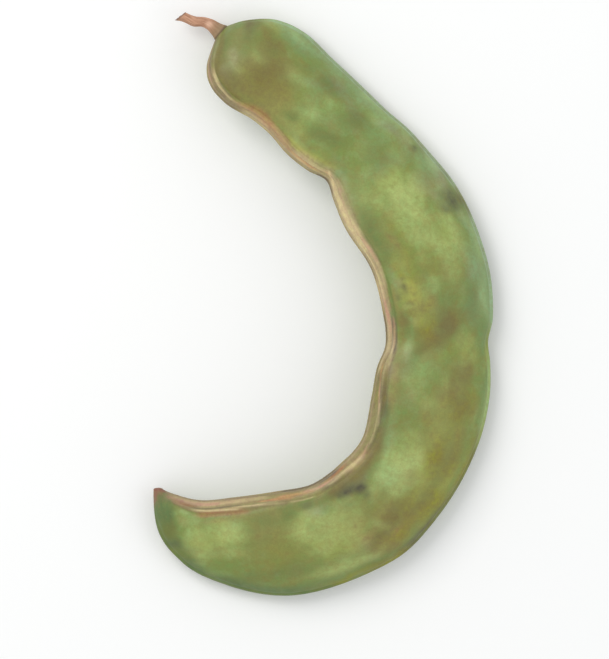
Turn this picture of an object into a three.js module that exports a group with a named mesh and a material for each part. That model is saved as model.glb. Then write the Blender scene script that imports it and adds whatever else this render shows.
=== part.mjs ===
// Ice cream bean pod: one long, curved, flat-sided legume pod on its short woody stalk, as picked.
// Millimetres, +Z up. The pod lies on one broad side, and its curve lies in the XY plane. The origin is
// on the surface it rests on, under the middle of its bounding box.
import * as THREE from "three";
import { mergeVertices } from "three/addons/utils/BufferGeometryUtils.js";

// Stations along the pod, from the stalk to the beak: where the seam edge (inner side of the curve) and
// the back edge (outer side) lie seen from above, the thickness from broad side to broad side, and half
// the width of the seam margin over the surface.
const POD_STATIONS = [
  { inner: [-54, 132.5], outer: [-48.5, 139], thick: 8, seamMargin: 2 },
  { inner: [-56, 127], outer: [-42, 141.2], thick: 15, seamMargin: 3.2 },
  { inner: [-58, 120.5], outer: [-34, 142.5], thick: 20, seamMargin: 4.4 },
  { inner: [-58.1, 114.3], outer: [-26, 142.6], thick: 23, seamMargin: 5 },
  { inner: [-55.7, 107.8], outer: [-18, 140.5], thick: 24.5, seamMargin: 5.2 },
  { inner: [-50.2, 101.3], outer: [-10, 136.3], thick: 25.5, seamMargin: 5.2 },
  { inner: [-34, 91], outer: [5, 122.5], thick: 26, seamMargin: 5.2 },
  { inner: [-27.2, 85.2], outer: [11.9, 116.1], thick: 26, seamMargin: 5.2 },
  { inner: [-17.9, 74.6], outer: [22.5, 106], thick: 26, seamMargin: 5.2 },
  { inner: [-8.1, 66.8], outer: [31.9, 96.9], thick: 25.5, seamMargin: 5.2 },
  { inner: [1.3, 61.7], outer: [42.9, 87.4], thick: 25, seamMargin: 5.6 },
  { inner: [5, 52], outer: [53.7, 75.4], thick: 25.5, seamMargin: 7 },
  { inner: [9.9, 39.7], outer: [64.2, 62.7], thick: 26.5, seamMargin: 6.8 },
  { inner: [24.2, 16.5], outer: [78.7, 33.1], thick: 26.5, seamMargin: 5.8 },
  { inner: [30.5, -9], outer: [84.9, 2.5], thick: 25.5, seamMargin: 5.6 },
  { inner: [31, -12.5], outer: [85, -6.5], thick: 25.2, seamMargin: 5.6 },
  { inner: [30.8, -21.5], outer: [82.6, -18.5], thick: 25, seamMargin: 5.7 },
  { inner: [27, -31], outer: [83.6, -29.5], thick: 25.5, seamMargin: 5.9 },
  { inner: [24.3, -45], outer: [83.5, -44.5], thick: 26.5, seamMargin: 6.8 },
  { inner: [19.4, -67], outer: [75.7, -75.2], thick: 26.5, seamMargin: 7 },
  { inner: [14.6, -73.9], outer: [66.7, -93], thick: 26.2, seamMargin: 7.4 },
  { inner: [9.6, -78.6], outer: [55.5, -108.9], thick: 26, seamMargin: 7.4 },
  { inner: [3, -84.4], outer: [41.1, -124.3], thick: 26, seamMargin: 6.8 },
  { inner: [-5.1, -89.6], outer: [21.8, -135.1], thick: 25.5, seamMargin: 6.4 },
  { inner: [-23.5, -93.5], outer: [-17, -146], thick: 24.5, seamMargin: 6.8 },
  { inner: [-43.5, -96.4], outer: [-49, -140.5], thick: 21.5, seamMargin: 8.2 },
  { inner: [-62, -98], outer: [-71, -129], thick: 16.5, seamMargin: 7.4 },
  { inner: [-74, -95.2], outer: [-83.2, -112], thick: 10.5, seamMargin: 4.8 },
  { inner: [-78.8, -93.5], outer: [-85, -97], thick: 6, seamMargin: 2.2 },
  { inner: [-80, -92.9], outer: [-85, -92.9], thick: 4.4, seamMargin: 1.6 },
];

// Cross-section: a flattened oval, turned a little about its length so that the seam faces upwards.
const OVAL_POWER = 2.3;
const ROLL_AT_STALK = THREE.MathUtils.degToRad(24);
const ROLL_AT_BEAK = THREE.MathUtils.degToRad(28);

// Back margin: half its width over the surface, and its largest share of a small section. The ridges of
// both margins reach their full height on sections of this half width and more.
const BACK_MARGIN = 6.5;
const BACK_MARGIN_SHARE = 0.22;
const FULL_RIDGE_HALF_WIDTH = 18;

// Ridges and grooves of the two margins: where each lies, from the margin's middle line (0) to its
// edge (1), how wide it is on the same scale, and its height over the oval.
const SEAM_RIDGES = [
  { at: 0, width: 0.2, height: 0.35 },
  { at: 0.42, width: 0.16, height: -0.3 },
  { at: 0.76, width: 0.15, height: 0.75 },
  { at: 1.08, width: 0.14, height: -0.35 },
];
const BACK_RIDGES = [
  { at: 0, width: 0.18, height: 0.3 },
  { at: 0.38, width: 0.17, height: -0.25 },
  { at: 0.72, width: 0.17, height: 0.7 },
  { at: 1.05, width: 0.14, height: -0.3 },
];

// Seeds: they stand in one row and swell both broad sides, from a little beyond the margins.
const SEED_PITCH = 30.3;
const FIRST_FOOT_SEED = 48;
const SEED_SWELL = 0.6;
const SWELL_FROM_MARGIN = 1.5;

// Rest: the pod touches the surface under three seeds, is pressed flat there, and rises in between and
// towards both ends.
const FOOT_SEEDS = [FIRST_FOOT_SEED, FIRST_FOOT_SEED + 6 * SEED_PITCH, FIRST_FOOT_SEED + 10 * SEED_PITCH];
const RISE_BETWEEN_SEEDS = 0.6;
const RISE_BETWEEN_FEET = 2;
const RISE_AT_STALK = 6;
const RISE_AT_BEAK = 6.5;
const FOOT_FLAT_DEPTH = 0.35;

// Beak: the last short length that rounds off the tip.
const BEAK_ROUNDING = [
  { beyond: 0.5, scale: 0.86 },
  { beyond: 0.9, scale: 0.55 },
];
const BEAK_END = 1;

// Stalk: edges seen from above and thickness, from the broken, flared end to the joint with the pod.
const STALK_STATIONS = [
  { inner: [-74, 142.1], outer: [-68.9, 146.1], thick: 4.6 },
  { inner: [-71.1, 141.7], outer: [-67.9, 145.5], thick: 4.4 },
  { inner: [-68.9, 140.9], outer: [-66.4, 144.7], thick: 4.2 },
  { inner: [-65, 139], outer: [-63.1, 143.7], thick: 4.4 },
  { inner: [-60.9, 138.8], outer: [-58.9, 143.3], thick: 4.6 },
  { inner: [-58, 137.2], outer: [-55.1, 142.1], thick: 5.2 },
  { inner: [-55.5, 134.4], outer: [-51.3, 140.2], thick: 6.6 },
  { inner: [-54.1, 132.5], outer: [-48.6, 139.2], thick: 8 },
];
const STALK_FLUTES = 5;
const STALK_FLUTE_DEPTH = 0.2;
const STALK_TWIST = 0.9;
const STALK_RISE = 2.4;
const JOINT_GAP = 0.3;

// Mesh fineness: rings along each piece, vertices round each ring, with the margins' in their own steps.
const POD_ROWS = 98;
const SEAM_MARGIN_STEPS = [0.2, 0.42, 0.59, 0.76, 0.92, 1.08, 1.35];
const BACK_MARGIN_STEPS = [0.2, 0.38, 0.55, 0.72, 1.05, 1.35];
const UPPER_SIDE_STEPS = 7;
const UNDER_SIDE_STEPS = 14;
const OVAL_SAMPLES = 160;
const STALK_ROWS = 18;
const STALK_SIDES = 20;
const MERGE_WITHIN = 1e-4;

const POD_FINISH = { color: 0x82924f, roughness: 0.6, metalness: 0 };
const STALK_FINISH = { color: 0xb17f62, roughness: 0.85, metalness: 0 };

const { clamp, lerp, smoothstep } = THREE.MathUtils;
const hump = (x, width) => Math.exp(-((x / width) ** 2));

// Distance along the middle line at which each station stands.
function stationDistances(stations) {
  const middles = stations.map(({ inner, outer }) =>
    new THREE.Vector2(...inner).add(new THREE.Vector2(...outer)).divideScalar(2));
  const distances = [0];
  for (let i = 1; i < middles.length; i++) {
    distances.push(distances[i - 1] + middles[i].distanceTo(middles[i - 1]));
  }
  return distances;
}

// A smooth curve through values that stand at uneven distances.
function smoothValue(distances, values, at) {
  const last = distances.length - 1;
  const slope = (k) => (values[k + 1] - values[k]) / (distances[k + 1] - distances[k]);
  const tangent = (k) => {
    if (k === 0) return slope(0);
    if (k === last) return slope(last - 1);
    const share = (distances[k] - distances[k - 1]) / (distances[k + 1] - distances[k - 1]);
    return lerp(slope(k - 1), slope(k), share);
  };
  let i = 0;
  while (i < last - 1 && at > distances[i + 1]) i++;
  const gap = distances[i + 1] - distances[i];
  const u = clamp((at - distances[i]) / gap, 0, 1);
  const ease = u * u * (3 - 2 * u);
  return lerp(values[i], values[i + 1], ease)
    + u * (1 - u) * gap * ((1 - u) * tangent(i) - u * tangent(i + 1));
}

// A number of the stations, such as a thickness, at a distance along them.
const readAt = (stations, distances, at, pick) => smoothValue(distances, stations.map(pick), at);

// The middle, the direction across and the half sizes of a section at a distance along the stations.
function sectionAt(stations, distances, at) {
  const read = (pick) => readAt(stations, distances, at, pick);
  const inner = new THREE.Vector2(read((s) => s.inner[0]), read((s) => s.inner[1]));
  const outer = new THREE.Vector2(read((s) => s.outer[0]), read((s) => s.outer[1]));
  return {
    middle: inner.clone().add(outer).divideScalar(2),
    across: outer.clone().sub(inner).normalize(),
    halfWidth: inner.distanceTo(outer) / 2,
    halfThick: read((s) => s.thick) / 2,
  };
}

// A point of the flattened oval and its outward normal. The turn runs from 0 at the seam to PI at the
// back over the upper side, and from 0 to -PI over the under side.
function ovalPoint(halfWidth, halfThick, turn) {
  const power = (value, exponent) => Math.sign(value) * Math.abs(value) ** exponent;
  const reach = 2 / OVAL_POWER;
  return {
    point: new THREE.Vector2(
      -halfWidth * power(Math.cos(turn), reach), halfThick * power(Math.sin(turn), reach)),
    normal: new THREE.Vector2(
      -power(Math.cos(turn), 2 - reach) / halfWidth, power(Math.sin(turn), 2 - reach) / halfThick).normalize(),
  };
}

// The turns of the oval against the distance over the surface from the seam.
function ovalDistances(halfWidth, halfThick) {
  const turns = Array.from({ length: OVAL_SAMPLES + 1 }, (_, i) => (Math.PI * i) / OVAL_SAMPLES);
  const points = turns.map((turn) => ovalPoint(halfWidth, halfThick, turn).point);
  const lengths = [0];
  for (let i = 1; i <= OVAL_SAMPLES; i++) {
    lengths.push(lengths[i - 1] + points[i].distanceTo(points[i - 1]));
  }
  return { turns, lengths, total: lengths[OVAL_SAMPLES] };
}

function turnAt({ turns, lengths, total }, arc) {
  const length = clamp(Math.abs(arc), 0, total);
  let i = 1;
  while (i < OVAL_SAMPLES && lengths[i] < length) i++;
  const share = (length - lengths[i - 1]) / (lengths[i] - lengths[i - 1]);
  return Math.sign(arc) * lerp(turns[i - 1], turns[i], share);
}

// Signed distances from the seam of the vertices of one ring.
function ringArcs(total, margins) {
  const seam = SEAM_MARGIN_STEPS.map((step) => step * margins.seam);
  const back = BACK_MARGIN_STEPS.map((step) => total - step * margins.back).reverse();
  const half = (steps) => {
    const side = Array.from({ length: steps }, (_, i) => lerp(seam.at(-1), back[0], (i + 1) / (steps + 1)));
    return [...seam, ...side, ...back];
  };
  return [0, ...half(UPPER_SIDE_STEPS), total, ...half(UNDER_SIDE_STEPS).map((arc) => -arc).reverse()];
}

function ridgeHeight(arc, total, margins) {
  const ridges = (list, distance) =>
    list.reduce((sum, { at, width, height }) => sum + height * hump(distance - at, width), 0);
  const inward = Math.abs(arc);
  return ridges(SEAM_RIDGES, inward / margins.seam) + ridges(BACK_RIDGES, (total - inward) / margins.back);
}

const seedWave = (at) => Math.cos((2 * Math.PI * (at - FIRST_FOOT_SEED)) / SEED_PITCH);

function seedSwell(arc, total, margins, at) {
  const from = SWELL_FROM_MARGIN * margins.seam;
  const to = total - SWELL_FROM_MARGIN * margins.back;
  const sideways = (2 * (Math.abs(arc) - from)) / (to - from) - 1;
  return SEED_SWELL * Math.max(0, 1 - sideways * sideways) * seedWave(at);
}

// How far the underside stands off the surface at a distance along the pod.
function underRise(at, length) {
  let rise = (RISE_BETWEEN_SEEDS * (1 - seedWave(at))) / 2;
  for (let i = 1; i < FOOT_SEEDS.length; i++) {
    const share = (at - FOOT_SEEDS[i - 1]) / (FOOT_SEEDS[i] - FOOT_SEEDS[i - 1]);
    if (share > 0 && share < 1) rise += RISE_BETWEEN_FEET * Math.sin(Math.PI * share) ** 2;
  }
  const toStalk = Math.max(0, 1 - at / FOOT_SEEDS[0]);
  const toBeak = Math.max(0, 1 - (length - at) / (length - FOOT_SEEDS.at(-1)));
  return rise + RISE_AT_STALK * toStalk ** 2 + RISE_AT_BEAK * toBeak ** 2;
}

// One ring of the pod at a distance along it, as wide as its station and standing at its own height.
function podRing(at, distances) {
  const length = distances.at(-1);
  const { middle, across, halfWidth, halfThick } = sectionAt(POD_STATIONS, distances, at);
  const roll = lerp(ROLL_AT_STALK, ROLL_AT_BEAK, smoothstep(at, 0, length));
  const widest = halfWidth / Math.cos(roll);
  const oval = ovalDistances(widest, halfThick);
  const margins = {
    seam: readAt(POD_STATIONS, distances, at, (s) => s.seamMargin),
    back: Math.min(BACK_MARGIN, BACK_MARGIN_SHARE * oval.total),
  };
  const reliefShare = Math.min(1, halfWidth / FULL_RIDGE_HALF_WIDTH);
  const section = ringArcs(oval.total, margins).map((arc) => {
    const { point, normal } = ovalPoint(widest, halfThick, turnAt(oval, arc));
    const relief = ridgeHeight(arc, oval.total, margins) + seedSwell(arc, oval.total, margins, at);
    return point.addScaledVector(normal, relief * reliefShare).rotateAround(new THREE.Vector2(), -roll);
  });
  const box = new THREE.Box2().setFromPoints(section);
  const boxMiddle = (box.min.x + box.max.x) / 2;
  const stretch = (2 * halfWidth) / (box.max.x - box.min.x);
  return section.map((p) => {
    const plan = middle.clone().addScaledVector(across, (p.x - boxMiddle) * stretch);
    return new THREE.Vector3(plan.x, plan.y, p.y - box.min.y + underRise(at, length));
  });
}

const centreOf = (ring) =>
  ring.reduce((sum, p) => sum.add(p), new THREE.Vector3()).divideScalar(ring.length);

// A closed skin over a row of rings, with a point over each end.
function skin(rings, startPoint, endPoint) {
  const sides = rings[0].length;
  const positions = [...rings.flat(), startPoint, endPoint].flatMap((p) => [p.x, p.y, p.z]);
  const start = rings.length * sides;
  const lastRow = start - sides;
  const index = [];
  for (let side = 0; side < sides; side++) {
    const next = (side + 1) % sides;
    for (let row = 0; row < lastRow; row += sides) {
      index.push(row + side, row + side + sides, row + next);
      index.push(row + next, row + side + sides, row + next + sides);
    }
    index.push(start, side, next);
    index.push(start + 1, lastRow + next, lastRow + side);
  }
  const geometry = new THREE.BufferGeometry();
  geometry.setAttribute("position", new THREE.Float32BufferAttribute(positions, 3));
  geometry.setIndex(index);
  const merged = mergeVertices(geometry, MERGE_WITHIN);
  merged.computeVertexNormals();
  return merged;
}

// The rings of the pod in place, with the point that closes the beak.
function podRings() {
  const distances = stationDistances(POD_STATIONS);
  const rings = Array.from({ length: POD_ROWS + 1 }, (_, row) =>
    podRing((distances.at(-1) * row) / POD_ROWS, distances));

  const tipRing = rings.at(-1);
  const tip = centreOf(tipRing);
  const heading = tip.clone().sub(centreOf(rings.at(-2))).setZ(0).normalize();
  for (const { beyond, scale } of BEAK_ROUNDING) {
    rings.push(tipRing.map((p) => tip.clone().lerp(p, scale).addScaledVector(heading, beyond)));
  }
  const beakEnd = tip.addScaledVector(heading, BEAK_END);

  const lowest = Math.min(...rings.flat().map((p) => p.z));
  const points = [...rings.flat(), beakEnd];
  for (const p of points) p.z = Math.max(0, p.z - lowest - FOOT_FLAT_DEPTH);
  return { rings, beakEnd };
}

// Rings of the stalk: a fluted, slightly twisted oval rod that narrows from the joint and flares at its end.
function stalkRings(jointHeight) {
  const distances = stationDistances(STALK_STATIONS);
  const joint = sectionAt(STALK_STATIONS, distances, distances.at(-1));
  const gap = joint.across.clone().rotateAround(new THREE.Vector2(), Math.PI / 2).multiplyScalar(JOINT_GAP);
  return Array.from({ length: STALK_ROWS + 1 }, (_, row) => {
    const share = row / STALK_ROWS;
    const { middle, across, halfWidth, halfThick } =
      sectionAt(STALK_STATIONS, distances, distances.at(-1) * share);
    const middleHeight = jointHeight + STALK_RISE * (1 - share) ** 2;
    return Array.from({ length: STALK_SIDES }, (_, side) => {
      const turn = (2 * Math.PI * side) / STALK_SIDES;
      const flute = STALK_FLUTE_DEPTH * Math.cos(STALK_FLUTES * (turn + STALK_TWIST * share));
      const plan = middle.clone().add(gap).addScaledVector(across, -(halfWidth + flute) * Math.cos(turn));
      return new THREE.Vector3(plan.x, plan.y, middleHeight + (halfThick + flute) * Math.sin(turn));
    });
  });
}

function part(name, geometry, finish) {
  const mesh = new THREE.Mesh(geometry, new THREE.MeshStandardMaterial(finish));
  mesh.name = name;
  return mesh;
}

const { rings: pod, beakEnd } = podRings();
const stalk = stalkRings(centreOf(pod[0]).z);
const object = new THREE.Group();
object.add(part("pod", skin(pod, centreOf(pod[0]), beakEnd), POD_FINISH));
object.add(part("stalk", skin(stalk, centreOf(stalk[0]), centreOf(stalk.at(-1))), STALK_FINISH));

export default object;
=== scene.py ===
"""Ice cream bean pod: one long, curved legume pod with its short woody stalk, lying on a pale floor.

Sizes are in millimetres unless a name says otherwise, and the meshes are made in metres. The pod lies
on one broad side with its curve in the XY plane, and +Z points up from the floor.
"""

import logging
import math
import random
from collections.abc import Iterable
from dataclasses import dataclass, field
from enum import Enum
from typing import Any, Union

import bmesh
import bpy
import numpy as np
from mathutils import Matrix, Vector, noise


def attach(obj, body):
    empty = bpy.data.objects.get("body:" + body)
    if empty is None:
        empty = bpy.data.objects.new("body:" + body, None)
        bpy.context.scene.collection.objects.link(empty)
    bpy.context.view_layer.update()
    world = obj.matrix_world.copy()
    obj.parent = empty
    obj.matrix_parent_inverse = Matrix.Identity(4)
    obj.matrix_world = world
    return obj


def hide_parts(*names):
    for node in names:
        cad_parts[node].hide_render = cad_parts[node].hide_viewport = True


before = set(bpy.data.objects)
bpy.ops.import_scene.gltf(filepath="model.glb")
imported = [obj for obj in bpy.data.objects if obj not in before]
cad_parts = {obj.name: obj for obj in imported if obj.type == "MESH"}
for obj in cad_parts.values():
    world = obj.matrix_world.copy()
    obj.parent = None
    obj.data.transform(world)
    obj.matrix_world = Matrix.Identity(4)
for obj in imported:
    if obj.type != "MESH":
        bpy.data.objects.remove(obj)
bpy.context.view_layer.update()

METRES_PER_MM = 0.001

Plan = tuple[float, float]
Spot = tuple[float, float]
Input = Union[float, tuple[float, ...], bpy.types.NodeSocket]

log = logging.getLogger("pod")


# Shader nodes


def linear(hex_colour: str) -> tuple[float, ...]:
    """Turn an sRGB colour into the linear one that a shader takes.

    Args:
        hex_colour: The colour as "#RRGGBB".

    Returns:
        Red, green and blue in linear light, and an alpha of one.
    """
    parts = [int(hex_colour[i : i + 2], 16) / 255 for i in (1, 3, 5)]
    return (*(c / 12.92 if c <= 0.04045 else ((c + 0.055) / 1.055) ** 2.4 for c in parts), 1.0)


def per_metre(size: float) -> float:
    """Return how often a pattern of that size in millimetres repeats in a metre."""
    return 1 / (size * METRES_PER_MM)


def add_node(
    tree: bpy.types.NodeTree,
    kind: str,
    inputs: dict[str | int, Input] | None = None,
    output: str | int = 0,
    **settings: Any,
) -> bpy.types.NodeSocket:
    """Add one shader node with its settings, its values and its links.

    Args:
        tree: The material's or world's node tree.
        kind: The node's type without its first words, such as "Mix".
        inputs: For each socket, by name or number, a value or the output that feeds it.
        output: The output that is wanted, by name or number.
        settings: The node's own properties.

    Returns:
        The node's wanted output, or its first input where it has no output.
    """
    made = tree.nodes.new("ShaderNode" + kind)
    for name, setting in settings.items():
        setattr(made, name, setting)
    for key, given in (inputs or {}).items():
        if isinstance(given, bpy.types.NodeSocket):
            tree.links.new(given, made.inputs[key])
        else:
            made.inputs[key].default_value = given
    return made.outputs[output] if made.outputs else made.inputs[0]


def cover(
    tree: bpy.types.NodeTree,
    below: Input,
    value: bpy.types.NodeSocket,
    levels: tuple[float, float],
    colour: Input,
    strength: float = 1.0,
    shape: str = "SMOOTHSTEP",
) -> bpy.types.NodeSocket:
    """Lay a colour over what is below it, with a soft outline that follows a value.

    Args:
        tree: The material's node tree.
        below: The colour so far.
        value: The value that says where the new colour lies.
        levels: The value where there is none of it, and where it is at full strength.
        colour: The new colour.
        strength: How much of what is below it hides.
        shape: How its weight grows between the levels.

    Returns:
        The colour with the new one over it.
    """
    weight = add_node(
        tree,
        "MapRange",
        {"Value": value, "From Min": levels[0], "From Max": levels[1], "To Max": strength},
        interpolation_type=shape,
    )
    # A colour Mix node has its factor, its two colours and its result at these sockets.
    return add_node(tree, "Mix", {0: weight, 6: below, 7: colour}, output=2, data_type="RGBA")


def new_material(name: str) -> tuple[bpy.types.Material, bpy.types.NodeTree]:
    """Make a material with an empty node tree, and return both."""
    material = bpy.data.materials.new(name)
    material.use_nodes = True
    material.node_tree.nodes.clear()
    return material, material.node_tree


# Shapes that the pod and its stalk share


def rough(places: np.ndarray, size: float, lane: float = 0.0) -> np.ndarray:
    """Read smooth noise from about -1 to 1.

    Args:
        places: The places, with X, Y and Z last.
        size: The noise's size, in the places' units.
        lane: A number that sets this noise apart from others of its size.

    Returns:
        One value for each place.
    """
    scaled = (places / size + lane).reshape(-1, 3)
    return np.array([noise.noise(Vector(place)) for place in scaled]).reshape(places.shape[:-1])


@dataclass(frozen=True)
class Station:
    """A section seen from above: its inner and outer edge, its thickness and half its seam margin."""

    inner: Plan
    outer: Plan
    thick: float
    seam_margin: float = 0


@dataclass(frozen=True)
class Section:
    """A section between stations: its middle, the direction across it and its half sizes."""

    middle: np.ndarray
    across: np.ndarray
    half_width: float
    half_thick: float
    seam_margin: float


class Course:
    """A smooth run of sections through stations at uneven distances."""

    def __init__(self, stations: tuple[Station, ...]) -> None:
        """Work out each station's distance along the middle line, and the slopes there.

        Args:
            stations: The sections that the run passes through, in order.
        """
        self.values = np.array([[*s.inner, *s.outer, s.thick, s.seam_margin] for s in stations])
        middles = (self.values[:, 0:2] + self.values[:, 2:4]) / 2
        steps = np.linalg.norm(np.diff(middles, axis=0), axis=1)
        slopes = np.diff(self.values, axis=0) / steps[:, None]
        share = (steps[:-1] / (steps[:-1] + steps[1:]))[:, None]
        between = slopes[:-1] * (1 - share) + slopes[1:] * share
        self.distances = np.concatenate([[0.0], np.cumsum(steps)])
        self.tangents = np.vstack([slopes[:1], between, slopes[-1:]])
        self.length = float(self.distances[-1])

    def section(self, at: float) -> Section:
        """Read the section at a distance along the middle line.

        Args:
            at: The distance from the first station.

        Returns:
            The section there.
        """
        k = int(np.clip(np.searchsorted(self.distances, at) - 1, 0, len(self.distances) - 2))
        gap = self.distances[k + 1] - self.distances[k]
        u = min(max((at - self.distances[k]) / gap, 0.0), 1.0)
        ease = u * u * (3 - 2 * u)
        bend = (1 - u) * self.tangents[k] - u * self.tangents[k + 1]
        value = self.values[k] * (1 - ease) + self.values[k + 1] * ease + u * (1 - u) * gap * bend
        inner, outer = value[0:2], value[2:4]
        width = float(np.linalg.norm(outer - inner))
        thick, seam_margin = (float(size) for size in value[4:])
        return Section((inner + outer) / 2, (outer - inner) / width, width / 2, thick / 2, seam_margin)


class RingSkin:
    """A closed, smooth mesh over a row of rings, whose vertices know their places on them."""

    def __init__(self, name: str, rings: np.ndarray, ends: tuple[np.ndarray, np.ndarray]) -> None:
        """Make the mesh.

        A circle is extruded to a straight tube, which is cut into rows and closed with a fan at both
        ends. Each vertex is then moved to its place on its ring.

        Args:
            name: The name of the piece.
            rings: The points, as rows, then sides, then X, Y and Z.
            ends: The middle points of the first and the last fan.
        """
        rows, sides = rings.shape[:2]
        bm = bmesh.new()
        bmesh.ops.create_circle(bm, segments=sides, radius=1.0)
        grown = bmesh.ops.extrude_edge_only(bm, edges=bm.edges[:])["geom"]
        far_ring = [item for item in grown if isinstance(item, bmesh.types.BMVert)]
        bmesh.ops.translate(bm, verts=far_ring, vec=(0, 0, 1))
        rungs = [edge for edge in bm.edges if abs(edge.verts[0].co.z - edge.verts[1].co.z) > 0.5]
        bmesh.ops.subdivide_edgering(bm, edges=rungs, cuts=rows - 2, interp_mode="LINEAR")
        rims = [edge for edge in bm.edges if edge.is_boundary]
        caps = bmesh.ops.holes_fill(bm, edges=rims, sides=0)["faces"]
        bmesh.ops.poke(bm, faces=caps)

        self.places = np.zeros(len(bm.verts), dtype=int)
        bm.verts.index_update()
        for vertex in bm.verts:
            x, y, z = vertex.co
            row = round(z * (rows - 1))
            side = round(math.atan2(y, x) * sides / math.tau) % sides
            is_end = math.hypot(x, y) < 0.5
            vertex.co = Vector(ends[round(z)] if is_end else rings[row, side]) * METRES_PER_MM
            self.places[vertex.index] = row * sides + side
        bmesh.ops.recalc_face_normals(bm, faces=bm.faces[:])

        mesh = bpy.data.meshes.new(name)
        bm.to_mesh(mesh)
        bm.free()
        mesh.shade_smooth()
        self.piece = bpy.data.objects.new(name, mesh)
        bpy.context.scene.collection.objects.link(self.piece)

    def paint(self, name: str, numbers: np.ndarray) -> None:
        """Give each vertex a number, or three of them, which the finish reads by name.

        Args:
            name: The attribute's name.
            numbers: For each side of each ring, one number or three.
        """
        flat = numbers.reshape(self.places.max() + 1, -1)[self.places]
        kind, key = ("FLOAT", "value") if flat.shape[1] == 1 else ("FLOAT_VECTOR", "vector")
        attribute = self.piece.data.attributes.new(name, kind, "POINT")
        attribute.data.foreach_set(key, flat.ravel().astype(np.float32))

    def dress(self, material: bpy.types.Material, node: str) -> bpy.types.Object:
        """Dress the piece, set it on its body and let it stand for its node.

        Args:
            material: The finish.
            node: The node that the piece stands for.

        Returns:
            The finished piece.
        """
        self.piece.data.materials.append(material)
        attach(self.piece, "root")
        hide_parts(node)
        return self.piece


# Marks on the pod's skin


class Tone(Enum):
    """The skin's tones, and light and shade painted on it. Each value names the attribute that holds the
    tone's weight.
    """

    OLIVE = "tone_olive"
    PALE = "tone_pale"
    MINT = "tone_mint"
    HONEY = "tone_honey"
    HAZE = "tone_haze"
    COOL = "tone_cool"
    # Painted reflected light along the back's edge.
    PAINTED_RIM_LIGHT = "tone_painted_rim_light"
    GOLD = "tone_gold"
    LEAF = "tone_leaf"
    DARK = "tone_dark"
    # Painted shade along the back's edge and round the tip.
    PAINTED_DEEP_SHADE = "tone_painted_deep_shade"
    BROWN = "tone_brown"
    # Painted sheen: pale grey highlights.
    MIST = "tone_painted_sheen"
    DUSK = "tone_dusk"
    MOSS = "tone_moss"
    TAN = "tone_tan"
    ORANGE = "tone_orange"
    RUST = "tone_rust"
    PINK = "tone_pink"
    CREAM = "tone_cream"
    BARK = "tone_bark"


class Margin(Enum):
    """The pod's two margins, which bound its broad sides."""

    SEAM = "seam"
    BACK = "back"


@dataclass(frozen=True)
class Blotch:
    """A soft blotch, and how far it reaches along and across the pod.

    Its spot is a distance along the pod, and one inward from the seam's edge as seen from above.
    """

    spot: Spot
    reach: Spot
    strength: float


@dataclass(frozen=True)
class Streak:
    """A streak along a margin, from spot to spot, and half its width.

    A spot is a distance along the pod, and one inward from the margin's edge as seen from above.
    """

    start: Spot
    end: Spot
    reach: float
    strength: float


def make_blotches(*rows: tuple[float, float, float, float, float]) -> tuple[Blotch, ...]:
    """Make blotches: each row is along, inward, reach along, reach across and strength."""
    return tuple(Blotch((row[0], row[1]), (row[2], row[3]), row[4]) for row in rows)


def make_streaks(*rows: tuple[float, float, float, float, float, float]) -> tuple[Streak, ...]:
    """Make streaks: each row is along and inward at the start and the end, half width and strength."""
    return tuple(Streak((row[0], row[1]), (row[2], row[3]), row[4], row[5]) for row in rows)


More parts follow.
